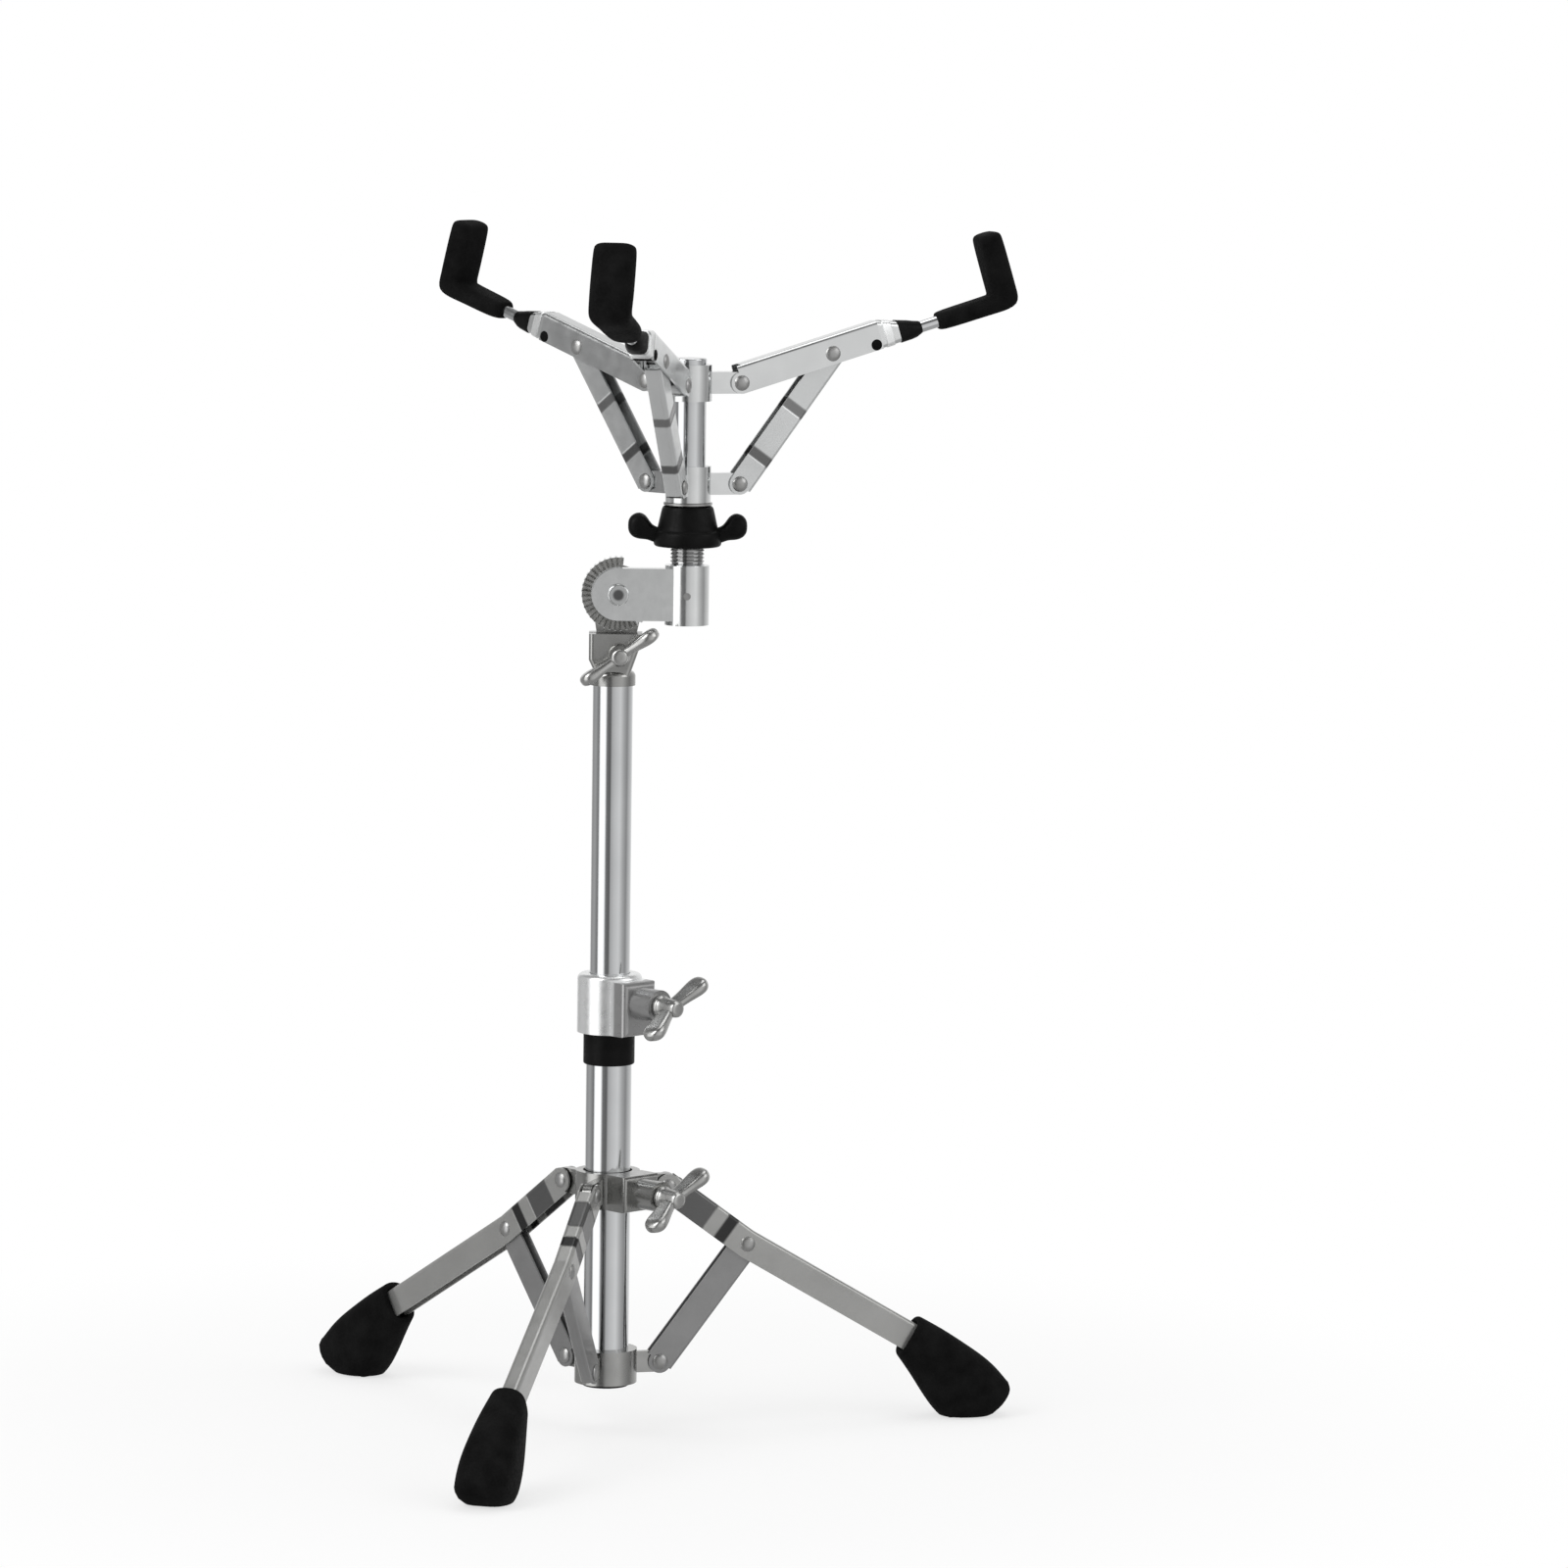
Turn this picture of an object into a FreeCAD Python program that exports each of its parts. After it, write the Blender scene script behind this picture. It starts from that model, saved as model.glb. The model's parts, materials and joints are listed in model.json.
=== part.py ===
import FreeCAD, Part
import math
import os

# Snare drum stand: a folding tripod, a sliding mast, a toothed tilter and a three-armed basket.
# Millimetres and degrees. The origin is on the lower tube's axis at the floor, +Z is up, and +X points
# from the column to the basket, whose axis stands beside the column's.

V = FreeCAD.Vector

# Column
LOWER_TUBE_OD = 25.4
LOWER_TUBE_WALL = 1.2
LOWER_TUBE_BOTTOM = 27.0
LOWER_TUBE_LENGTH = 204.0
UPPER_TUBE_OD = 22.2
UPPER_TUBE_WALL = 1.2
UPPER_TUBE_LENGTH = 241.0
UPPER_TUBE_INSERTION = 53.0
END_PLUG_LENGTH = 9.0
END_PLUG_LIP = 2.0

# Height clamp
CLAMP_OD = 36.0
CLAMP_HEIGHT = 33.0
CLAMP_OVERLAP = 6.0
CLAMP_ROUNDING = 3.0
CLAMP_LIP = 2.0
CLAMP_BLOCK_WIDTH = 24.0
CLAMP_BLOCK_REACH = 25.5
CLAMP_BLOCK_ROUNDING = 3.0
CLAMP_BOSS_OD = 18.0
CLAMP_BOSS_RISE = 18.5
CLAMP_BOSS_REACH = 41.0
LINER_WALL = 2.6
SKIRT_OD = 28.6
SKIRT_HEIGHT = 18.0
SKIRT_ROUNDING = 1.0

# Tripod
SIDES = 3
LEG_AZIMUTH = 13.0
LEG_TOP_RADIUS = 34.0
LEG_TOP_HEIGHT = 137.0
KNEE_RADIUS = 80.0
KNEE_HEIGHT = 103.0
LEG_STRUT_RADIUS = 30.5
LEG_STRUT_RISE = 10.5
LEG_WIDTH = 9.6
LEG_DEPTH = 16.0
LEG_WALL = 1.2
LEG_BEND_RADIUS = 2.2
LEG_END_RADIUS = 7.0
LEG_STRUT_DEPTH = 16.5
LEG_STRUT_WALL = 1.2
LEG_STRUT_SETBACK = 3.0
LEG_COLLAR_OD = 36.0
LEG_COLLAR_HEIGHT = 20.0
LEG_LUG_RADIUS = 7.0
COLLAR_BLOCK_WIDTH = 26.0
COLLAR_BLOCK_REACH = 28.0
COLLAR_BLOCK_ROUNDING = 2.0
COLLAR_BOSS_OD = 17.0
COLLAR_BOSS_REACH = 44.0
LOWER_COLLAR_OD = 35.0
LOWER_COLLAR_HEIGHT = 19.0
LOWER_LUG_RADIUS = 6.0

# Rubber feet, in the plane of each leg
FOOT_MOUTH_RADIUS = 175.0
FOOT_MOUTH_HEIGHT = 47.0
FOOT_MOUTH_WIDTH = 20.0
FOOT_MOUTH_DEPTH = 25.0
FOOT_LENGTH = 68.0
FOOT_WIDTH = 31.0
FOOT_SOLE_LENGTH = 26.0
FOOT_SOLE_WIDTH = 31.0
FOOT_SOLE_THICKNESS = 3.0
FOOT_SOLE_PLACE = 0.56
FOOT_SOLE_CORNER = 12.0
FOOT_CORNER_SHARE = 0.42
FOOT_SOCKET_DEPTH = 24.0
# Sections along the boot: share of its length, sag and depth in mouth depths, and how far the
# width has swelled from the mouth's to the full width
FOOT_SECTIONS = [
    (0.00, 0.00, 1.00, 0.00),
    (0.24, 0.13, 1.30, 0.50),
    (0.46, 0.25, 1.46, 0.85),
    (0.68, 0.31, 1.50, 1.00),
    (0.84, 0.26, 1.17, 0.95),
    (0.96, 0.11, 0.58, 0.55),
    (1.00, 0.03, 0.26, 0.10),
]

# Tilter
PIVOT_X = 2.5
PIVOT_RISE = 51.0
GEAR_RADIUS = 20.5
GEAR_TEETH = 40
GEAR_NOTCH_RADIUS = 1.1
GEAR_START = 222.0
GEAR_SWEEP = 230.0
PLATE_HALF_HEIGHT = 14.5
PLATE_THICKNESS = 9.3
TILTER_REAR_THICKNESS = 4.6
TILTER_REAR_RADIUS = 15.0
TILTER_BLOCK_THICKNESS = 20.0
TILTER_BLOCK_WIDTH = 27.0
TILTER_BLOCK_RISE = 29.0
TILTER_BLOCK_ROUNDING = 2.5
TILTER_WING_SIDE_DROP = 14.5
TILTER_BASKET_SIDE_DROP = 3.6
TILTER_NECK_WIDTH = 17.0
TILTER_PLUG_LENGTH = 24.0
TILTER_CAP_OD = 25.0
TILTER_CAP_HEIGHT = 8.0
TILTER_CAP_ROUNDING = 3.0
TILTER_SLIT = 2.0
TILTER_SLIT_FLOOR = 9.0
TILTER_WING_X = 3.5
TILTER_WING_RISE = 17.5
PIVOT_BOLT_DIAMETER = 8.0
PIVOT_BOLT_HEAD = 12.0
PIVOT_BOLT_HEAD_HEIGHT = 3.2
NUT_ACROSS_FLATS = 13.0
NUT_HEIGHT = 6.0
SLEEVE_OD = 24.6
SLEEVE_HEIGHT = 33.0
SLEEVE_DROP = 17.0
SLEEVE_RIVET_DIAMETER = 4.0

# Basket
BASKET_OFFSET = 40.4
ARM_AZIMUTH = 16.0
POST_OD = 19.05
POST_WALL = 2.6
POST_LENGTH = 146.0
THREAD_PITCH = 2.0
THREAD_OD = 18.8
THREAD_DEPTH = 0.9
THREAD_FLAT = 0.4
THREAD_LENGTH = 38.0
HUB_OD = 25.2
HUB_HEIGHT = 20.0
HUB_LUG_RADIUS = 6.0
HUB_PIVOT_RADIUS = 28.5
HUB_SPACING = 56.0
POST_ABOVE_HUB = 2.0
CAP_HEIGHT = 1.6
CAP_STEM = 10.0
ARM_RISE = 17.0
ARM_KNUCKLE = 54.9
ARM_CHANNEL_LENGTH = 84.0
ARM_NOSE_LENGTH = 22.0
ARM_NOSE_DIAMETER = 9.0
ARM_WIDTH = 13.0
ARM_WALL = 1.4
ARM_WEB_RISE = 9.8
ARM_DROP = 6.0
ARM_BEND_RADIUS = 2.4
ARM_END_RADIUS = 6.0
ARM_ROD_DIAMETER = 6.5
ARM_ROD_SHOW = 14.0
ARM_ROD_BEND = 9.0
ARM_ROD_GRIP_MARGIN = 8.0
ARM_STRUT_OPEN = 6.0
ARM_STRUT_WEB = 8.0
ARM_STRUT_WALL = 1.3
ARM_STRUT_END_RADIUS = 5.9

# Rubber grips, measured along the arm from its hub pivot and square to it
GRIP_LENGTH = 47.6
GRIP_DROP = 6.8
GRIP_SEAT_WIDTH = 20.0
GRIP_SEAT_THICKNESS = 10.0
GRIP_POST_WIDTH = 24.0
GRIP_POST_THICKNESS = 14.0
GRIP_POST_HEIGHT = 44.0
GRIP_ROUNDING = 3.0

# Basket knob
KNOB_HEIGHT = 23.0
KNOB_BASE_OD = 38.0
KNOB_BASE_HEIGHT = 9.0
KNOB_TOP_OD = 28.0
KNOB_ROUNDING = 2.0
KNOB_EAR_REACH = 25.5
KNOB_EAR_RADIUS = 7.5
KNOB_EAR_HEIGHT = 11.5
KNOB_EAR_THICKNESS = 13.0
KNOB_EAR_ROUNDING = 3.0
INSERT_OD = 24.0
INSERT_HEIGHT = 17.0
WASHER_OD = 27.0
WASHER_THICKNESS = 1.2

# Wing bolts
WING_SCREW_DIAMETER = 8.0
WING_HUB_OD = 13.0
WING_HUB_TIP_OD = 9.5
WING_HUB_LENGTH = 15.0
WING_SPAN = 51.0
WING_THICKNESS = 5.6
WING_ROOT_RADIUS = 5.0
WING_TIP_RADIUS = 6.5
WING_SWEEP = 5.0
WING_ROUNDING = 1.6
COLUMN_WING_LEAN = -55.0
TILTER_WING_LEAN = -55.0
LEG_WING_TIP_GAP = 0.9

# Pins and rivets
PIN_DIAMETER = 5.0
PIN_HEAD_DIAMETER = 8.6
PIN_HEAD_HEIGHT = 1.4
KNUCKLE_RIVET_DIAMETER = 4.0

# Fits
PIN_FIT = 0.02
RUNNING_FIT = 0.06
SIDE_GAP = 0.3
SCREW_FIT = 0.05
TUBE_SOCKET_FIT = 0.05
COLLAR_SLACK = 1.05
LEG_LUG_SLACK = 1.65
LEG_LUG_SIDE_SLACK = 1.1
KNUCKLE_SLACK = 1.95

# How far cutting tools run past what they cut, and the corner radius of a nearly round section
OVERSHOOT = 2.0
ROUND_END_SHARE = 0.46

# Heights and points that follow from the driving sizes
LOWER_TUBE_TOP = LOWER_TUBE_BOTTOM + LOWER_TUBE_LENGTH
UPPER_TUBE_BOTTOM = LOWER_TUBE_TOP - UPPER_TUBE_INSERTION
UPPER_TUBE_TOP = UPPER_TUBE_BOTTOM + UPPER_TUBE_LENGTH
CLAMP_BOTTOM = LOWER_TUBE_TOP - CLAMP_OVERLAP
CLAMP_TOP = CLAMP_BOTTOM + CLAMP_HEIGHT
CLAMP_BOSS_HEIGHT = CLAMP_BOTTOM + CLAMP_BOSS_RISE
LINER_OD = UPPER_TUBE_OD + 2 * RUNNING_FIT + 2 * LINER_WALL
WING_AZIMUTH = LEG_AZIMUTH - 180.0 / SIDES
LEG_TOP = V(LEG_TOP_RADIUS, 0, LEG_TOP_HEIGHT)
KNEE = V(KNEE_RADIUS, 0, KNEE_HEIGHT)
LEG_STRUT_PIVOT = V(LEG_STRUT_RADIUS, 0, LOWER_TUBE_BOTTOM + LEG_STRUT_RISE)
FOOT_MOUTH = V(FOOT_MOUTH_RADIUS, 0, FOOT_MOUTH_HEIGHT)
LEG_INNER_WIDTH = LEG_WIDTH - 2 * LEG_WALL
LEG_STRUT_WIDTH = LEG_INNER_WIDTH - 2 * SIDE_GAP
LEG_STRUT_INNER_WIDTH = LEG_STRUT_WIDTH - 2 * LEG_STRUT_WALL
LEG_STRUT_END_RADIUS = LEG_DEPTH / 2 - LEG_WALL - SIDE_GAP
PIVOT = V(PIVOT_X, 0, UPPER_TUBE_TOP + PIVOT_RISE)
SLEEVE_BOTTOM = PIVOT.z - SLEEVE_DROP
SLEEVE_TOP = SLEEVE_BOTTOM + SLEEVE_HEIGHT
POST_TOP = SLEEVE_BOTTOM + POST_LENGTH
UPPER_HUB_HEIGHT = POST_TOP - POST_ABOVE_HUB - HUB_HEIGHT / 2
LOWER_HUB_HEIGHT = UPPER_HUB_HEIGHT - HUB_SPACING
LOWER_HUB_BOTTOM = LOWER_HUB_HEIGHT - HUB_HEIGHT / 2
WASHER_BOTTOM = LOWER_HUB_BOTTOM - SIDE_GAP - WASHER_THICKNESS
KNOB_TOP = WASHER_BOTTOM - SIDE_GAP
KNOB_BOTTOM = KNOB_TOP - KNOB_HEIGHT
ARM_ROOT = V(HUB_PIVOT_RADIUS, 0, UPPER_HUB_HEIGHT)
ARM_STRUT_PIVOT = V(HUB_PIVOT_RADIUS, 0, LOWER_HUB_HEIGHT)
ARM_HEADING = V(math.cos(math.radians(ARM_RISE)), 0, math.sin(math.radians(ARM_RISE)))
ARM_SQUARE = V(-ARM_HEADING.z, 0, ARM_HEADING.x)
KNUCKLE = ARM_ROOT + ARM_HEADING * ARM_KNUCKLE
ARM_INNER_WIDTH = ARM_WIDTH - 2 * ARM_WALL
ARM_STRUT_WIDTH = ARM_INNER_WIDTH - 2 * SIDE_GAP
ARM_STRUT_INNER_WIDTH = ARM_STRUT_WIDTH - 2 * ARM_STRUT_WALL
ARM_ROD_DROP = GRIP_DROP - GRIP_SEAT_THICKNESS / 2
GRIP_START = ARM_CHANNEL_LENGTH + ARM_NOSE_LENGTH + ARM_ROD_SHOW
GRIP_END = GRIP_START + GRIP_LENGTH
SIDEWAYS = V(0, 1, 0)
UPWARD = V(0, 0, 1)


def upright(diameter, bottom, top, x=0.0):
    """Solid round bar along Z."""
    return Part.makeCylinder(diameter / 2, top - bottom, V(x, 0, bottom))


def sleeve(outer, inner, bottom, top, x=0.0):
    """Round tube along Z."""
    bore = upright(inner, bottom - OVERSHOOT, top + OVERSHOOT, x)
    return upright(outer, bottom, top, x).cut(bore)


def crossbar(centre, diameter, length):
    """Solid round bar along Y, centred on its point."""
    return Part.makeCylinder(diameter / 2, length, centre - SIDEWAYS * (length / 2), SIDEWAYS)


def turned(shape, azimuth, x=0.0):
    """Copy of a shape, turned about the vertical line through X."""
    copy = shape.copy()
    copy.rotate(V(x, 0, 0), UPWARD, azimuth)
    return copy


def shifted(shape, offset):
    """Copy of a shape, moved by an offset."""
    copy = shape.copy()
    copy.translate(offset)
    return copy


def side_azimuths(first):
    """Azimuths of the legs, or of the arms."""
    return [first + side * 360.0 / SIDES for side in range(SIDES)]


def plate(points, back, front):
    """Flat plate with an outline in the XZ plane, from Y = back to Y = front."""
    outline = Part.makePolygon(points + [points[0]])
    flat = Part.Face(outline).extrude(SIDEWAYS * (front - back))
    return shifted(flat, SIDEWAYS * back)


def link(first, first_radius, second, second_radius, width):
    """Flat bar with round ends: the hull of two circles in the XZ plane, centred on Y = 0."""
    span = second - first
    heading = math.atan2(span.z, span.x)
    spread = math.acos((first_radius - second_radius) / span.Length)

    def rim(centre, radius, angle):
        return centre + V(math.cos(angle), 0, math.sin(angle)) * radius

    start_low = rim(first, first_radius, heading - spread)
    start_high = rim(first, first_radius, heading + spread)
    end_low = rim(second, second_radius, heading - spread)
    end_high = rim(second, second_radius, heading + spread)
    edges = [
        Part.Arc(start_high, rim(first, first_radius, heading + math.pi), start_low),
        Part.LineSegment(start_low, end_low),
        Part.Arc(end_low, rim(second, second_radius, heading), end_high),
        Part.LineSegment(end_high, start_high),
    ]
    outline = Part.Wire([edge.toShape() for edge in edges])
    bar = Part.Face(outline).extrude(SIDEWAYS * width)
    return shifted(bar, SIDEWAYS * (-width / 2))


def rounded_outline(centre, across, up, width, height, radius):
    """Closed wire: a rectangle with round corners, in the plane of two unit vectors."""
    half_width = width / 2
    half_height = height / 2
    corners = [(1, 1), (-1, 1), (-1, -1), (1, -1)]
    arcs = []
    for right, high in corners:
        middle = centre + across * (right * (half_width - radius)) + up * (high * (half_height - radius))
        side_point = middle + across * (right * radius)
        top_point = middle + up * (high * radius)
        bulge = middle + (across * right + up * high) * (radius * math.sqrt(0.5))
        ends = (side_point, top_point) if right * high > 0 else (top_point, side_point)
        arcs.append((ends[0], bulge, ends[1]))
    edges = []
    for index, (start, bulge, end) in enumerate(arcs):
        following = arcs[(index + 1) % len(arcs)][0]
        edges.append(Part.Arc(start, bulge, end).toShape())
        edges.append(Part.LineSegment(end, following).toShape())
    return Part.Wire(edges)


def edges_along_x(box, height):
    """Edges of a box that run along X at a given height."""
    level = [edge for edge in box.Edges if edge.BoundBox.ZLength < PIN_FIT]
    top = [edge for edge in level if abs(edge.BoundBox.ZMax - height) < PIN_FIT]
    return [edge for edge in top if edge.BoundBox.YLength < PIN_FIT]


def channel(start, end, width, wall, web_rise, open_drop, bend_radius, web_up=True):
    """Straight folded channel from start to end. Its web lies above the line, or below it."""
    span = end - start
    outer = Part.makeBox(span.Length, width, web_rise + open_drop, V(0, -width / 2, -open_drop))
    outer = outer.makeFillet(bend_radius, edges_along_x(outer, web_rise))
    inner_width = width - 2 * wall
    inner_top = web_rise - wall
    inner_height = inner_top + open_drop + OVERSHOOT
    inner_corner = V(-OVERSHOOT, -inner_width / 2, -open_drop - OVERSHOOT)
    inner = Part.makeBox(span.Length + 2 * OVERSHOOT, inner_width, inner_height, inner_corner)
    inner = inner.makeFillet(bend_radius - wall, edges_along_x(inner, inner_top))
    folded = outer.cut(inner)
    if not web_up:
        folded.rotate(V(0, 0, 0), V(1, 0, 0), 180)
    folded.rotate(V(0, 0, 0), SIDEWAYS, -math.degrees(math.atan2(span.z, span.x)))
    return shifted(folded, start)


def cheeks(centre, radius, width, wall):
    """Two round cheeks that end a channel at a pivot."""
    gap = crossbar(centre, 2 * radius + OVERSHOOT, width - 2 * wall)
    return crossbar(centre, 2 * radius, width).cut(gap)


def beyond(point, direction, reach):
    """Large block on the far side of a plane through a point, square to a direction in XZ."""
    block = Part.makeBox(reach, reach, 2 * reach, V(0, -reach / 2, -reach))
    block.rotate(V(0, 0, 0), SIDEWAYS, -math.degrees(math.atan2(direction.z, direction.x)))
    return shifted(block, point)


def pin(centre, diameter, grip):
    """Headed pin along Y: a shank through the grip, with a head at each end."""
    heads = []
    for end in (-1, 1):
        face = centre + SIDEWAYS * (end * grip / 2)
        head = Part.makeCone(PIN_HEAD_DIAMETER / 2, diameter / 2, PIN_HEAD_HEIGHT, face, SIDEWAYS * end)
        heads.append(head)
    return crossbar(centre, diameter, grip).multiFuse(heads).removeSplitter()


def lug_ring(outer, bore, height, centre, lug_tip, lug_radius, lug_width, holes, azimuth):
    """Ring on the Z axis with one pivot lug for each leg or arm."""
    bottom = centre - height / 2
    top = centre + height / 2
    body = upright(outer, bottom, top)
    for hole, angle in zip(holes, side_azimuths(azimuth)):
        lug = link(V(0, 0, lug_tip.z), lug_radius, lug_tip, lug_radius, lug_width)
        lug = lug.cut(crossbar(lug_tip, hole, lug_width + OVERSHOOT))
        body = body.fuse(turned(lug, angle))
    return body.cut(upright(bore, bottom - OVERSHOOT, top + OVERSHOOT))


def radial_bar(diameter, start, end, height, azimuth):
    """Solid round bar pointing out from the column's axis."""
    bar = Part.makeCylinder(diameter / 2, end - start, V(start, 0, height), V(1, 0, 0))
    return turned(bar, azimuth)


def wing_block(start, reach, width, bottom, top, rounding):
    """Rounded block that stands out from the column, where a wing bolt goes in."""
    block = Part.makeBox(reach - start, width, top - bottom, V(start, -width / 2, bottom))
    outer_edges = [edge for edge in block.Edges if edge.BoundBox.XMin > reach - PIN_FIT]
    return turned(block.makeFillet(rounding, outer_edges), WING_AZIMUTH)


def rounded_rims(shape, radius, heights):
    """Round the outermost circular edges that lie at the given heights."""
    rims = []
    for height in heights:
        level = [edge for edge in shape.Edges if abs(edge.BoundBox.ZMin - height) < PIN_FIT]
        level = [edge for edge in level if edge.BoundBox.ZLength < PIN_FIT]
        widest = max(edge.BoundBox.XLength for edge in level)
        rims += [edge for edge in level if edge.BoundBox.XLength > widest - PIN_FIT]
    return shape.makeFillet(radius, rims)


# Column

def make_lower_tube():
    inner = LOWER_TUBE_OD - 2 * LOWER_TUBE_WALL
    return sleeve(LOWER_TUBE_OD, inner, LOWER_TUBE_BOTTOM, LOWER_TUBE_TOP)


def make_end_plug():
    stem = LOWER_TUBE_OD - 2 * LOWER_TUBE_WALL - 2 * TUBE_SOCKET_FIT
    lip_bottom = LOWER_TUBE_BOTTOM - END_PLUG_LIP
    lip = upright(LOWER_TUBE_OD, lip_bottom, LOWER_TUBE_BOTTOM)
    return lip.fuse(upright(stem, lip_bottom, lip_bottom + END_PLUG_LENGTH)).removeSplitter()


def make_lower_collar():
    hole = PIN_DIAMETER + 2 * PIN_FIT
    lug_width = LEG_STRUT_INNER_WIDTH - 2 * SIDE_GAP
    centre = LOWER_TUBE_BOTTOM + LOWER_COLLAR_HEIGHT / 2
    return lug_ring(LOWER_COLLAR_OD, LOWER_TUBE_OD, LOWER_COLLAR_HEIGHT, centre, LEG_STRUT_PIVOT,
                    LOWER_LUG_RADIUS, lug_width, [hole] * SIDES, LEG_AZIMUTH)


def make_lower_pins():
    one = pin(LEG_STRUT_PIVOT, PIN_DIAMETER, LEG_STRUT_WIDTH + 2 * SIDE_GAP)
    return [turned(one, angle) for angle in side_azimuths(LEG_AZIMUTH)]


def make_height_clamp():
    body = rounded_rims(upright(CLAMP_OD, CLAMP_BOTTOM, CLAMP_TOP), CLAMP_ROUNDING, [CLAMP_TOP])
    block = wing_block(0, CLAMP_BLOCK_REACH, CLAMP_BLOCK_WIDTH, CLAMP_BOTTOM, CLAMP_TOP - CLAMP_ROUNDING,
                       CLAMP_BLOCK_ROUNDING)
    boss = radial_bar(CLAMP_BOSS_OD, 0, CLAMP_BOSS_REACH, CLAMP_BOSS_HEIGHT, WING_AZIMUTH)
    body = body.multiFuse([block, boss])
    body = body.cut(upright(LOWER_TUBE_OD, CLAMP_BOTTOM - OVERSHOOT, LOWER_TUBE_TOP))
    body = body.cut(upright(LINER_OD, LOWER_TUBE_TOP, CLAMP_TOP - CLAMP_LIP))
    body = body.cut(upright(UPPER_TUBE_OD + 2 * SIDE_GAP, LOWER_TUBE_TOP, CLAMP_TOP + OVERSHOOT))
    screw_hole = WING_SCREW_DIAMETER + 2 * SCREW_FIT
    start = LINER_OD / 2 - OVERSHOOT
    reach = CLAMP_BOSS_REACH + OVERSHOOT
    return body.cut(radial_bar(screw_hole, start, reach, CLAMP_BOSS_HEIGHT, WING_AZIMUTH)).removeSplitter()


def make_clamp_liner():
    return sleeve(LINER_OD, LINER_OD - 2 * LINER_WALL, LOWER_TUBE_TOP, CLAMP_TOP - CLAMP_LIP)


def make_clamp_skirt():
    bottom = CLAMP_BOTTOM - SKIRT_HEIGHT
    body = rounded_rims(upright(SKIRT_OD, bottom, CLAMP_BOTTOM), SKIRT_ROUNDING, [bottom])
    return body.cut(upright(LOWER_TUBE_OD, bottom - OVERSHOOT, CLAMP_BOTTOM + OVERSHOOT))


def wing_bolt(screw_length):
    """Wing bolt along X: its screw points to -X, and its wings stand up and down."""
    face = V(SIDE_GAP, 0, 0)
    heading = V(1, 0, 0)
    whole_length = screw_length + SIDE_GAP
    screw = Part.makeCylinder(WING_SCREW_DIAMETER / 2, whole_length, heading * -screw_length, heading)
    hub = Part.makeCone(WING_HUB_OD / 2, WING_HUB_TIP_OD / 2, WING_HUB_LENGTH, face, heading)
    root = face + heading * (WING_HUB_LENGTH / 2)
    blades = []
    for side in (-1, 1):
        tip = root + heading * WING_SWEEP + UPWARD * (side * (WING_SPAN / 2 - WING_TIP_RADIUS))
        blade = link(root, WING_ROOT_RADIUS, tip, WING_TIP_RADIUS, WING_THICKNESS)
        blades.append(blade.makeFillet(WING_ROUNDING, blade.Edges))
    return screw.multiFuse([hub] + blades).removeSplitter()


def column_wing(screw_length, boss_reach, height):
    """Wing bolt in a boss of the column, between two legs."""
    bolt = wing_bolt(screw_length)
    bolt.rotate(V(0, 0, 0), V(1, 0, 0), COLUMN_WING_LEAN)
    return turned(shifted(bolt, V(boss_reach, 0, height)), WING_AZIMUTH)


def make_clamp_wing():
    screw_length = CLAMP_BOSS_REACH - LINER_OD / 2 - SIDE_GAP
    return column_wing(screw_length, CLAMP_BOSS_REACH, CLAMP_BOSS_HEIGHT)


# Tripod

def make_leg_collar():
    first_hole = PIN_DIAMETER + 2 * RUNNING_FIT
    open_hole = PIN_DIAMETER + 2 * LEG_LUG_SLACK
    holes = [first_hole] + [open_hole] * (SIDES - 1)
    lug_width = LEG_INNER_WIDTH - 2 * LEG_LUG_SIDE_SLACK
    bore = LOWER_TUBE_OD + 2 * COLLAR_SLACK
    body = lug_ring(LEG_COLLAR_OD, bore, LEG_COLLAR_HEIGHT, LEG_TOP_HEIGHT, LEG_TOP,
                    LEG_LUG_RADIUS, lug_width, holes, LEG_AZIMUTH)
    bottom = LEG_TOP_HEIGHT - LEG_COLLAR_HEIGHT / 2
    top = LEG_TOP_HEIGHT + LEG_COLLAR_HEIGHT / 2
    block = wing_block(bore / 2, COLLAR_BLOCK_REACH, COLLAR_BLOCK_WIDTH, bottom, top, COLLAR_BLOCK_ROUNDING)
    boss = radial_bar(COLLAR_BOSS_OD, bore / 2, COLLAR_BOSS_REACH, LEG_TOP_HEIGHT, WING_AZIMUTH)
    screw_hole = WING_SCREW_DIAMETER + 2 * SCREW_FIT
    hole = radial_bar(screw_hole, 0, COLLAR_BOSS_REACH + OVERSHOOT, LEG_TOP_HEIGHT, WING_AZIMUTH)
    tube_space = upright(bore, bottom - OVERSHOOT, top + OVERSHOOT)
    return body.multiFuse([block, boss]).cut(tube_space).cut(hole).removeSplitter()


def make_collar_wing():
    screw_length = COLLAR_BOSS_REACH - LOWER_TUBE_OD / 2 - LEG_WING_TIP_GAP
    return column_wing(screw_length, COLLAR_BOSS_REACH, LEG_TOP_HEIGHT)


def leg_heading():
    """Direction of the leg's outer part, from the knee to the foot."""
    heading = FOOT_MOUTH - KNEE
    return heading.normalize()


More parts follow.
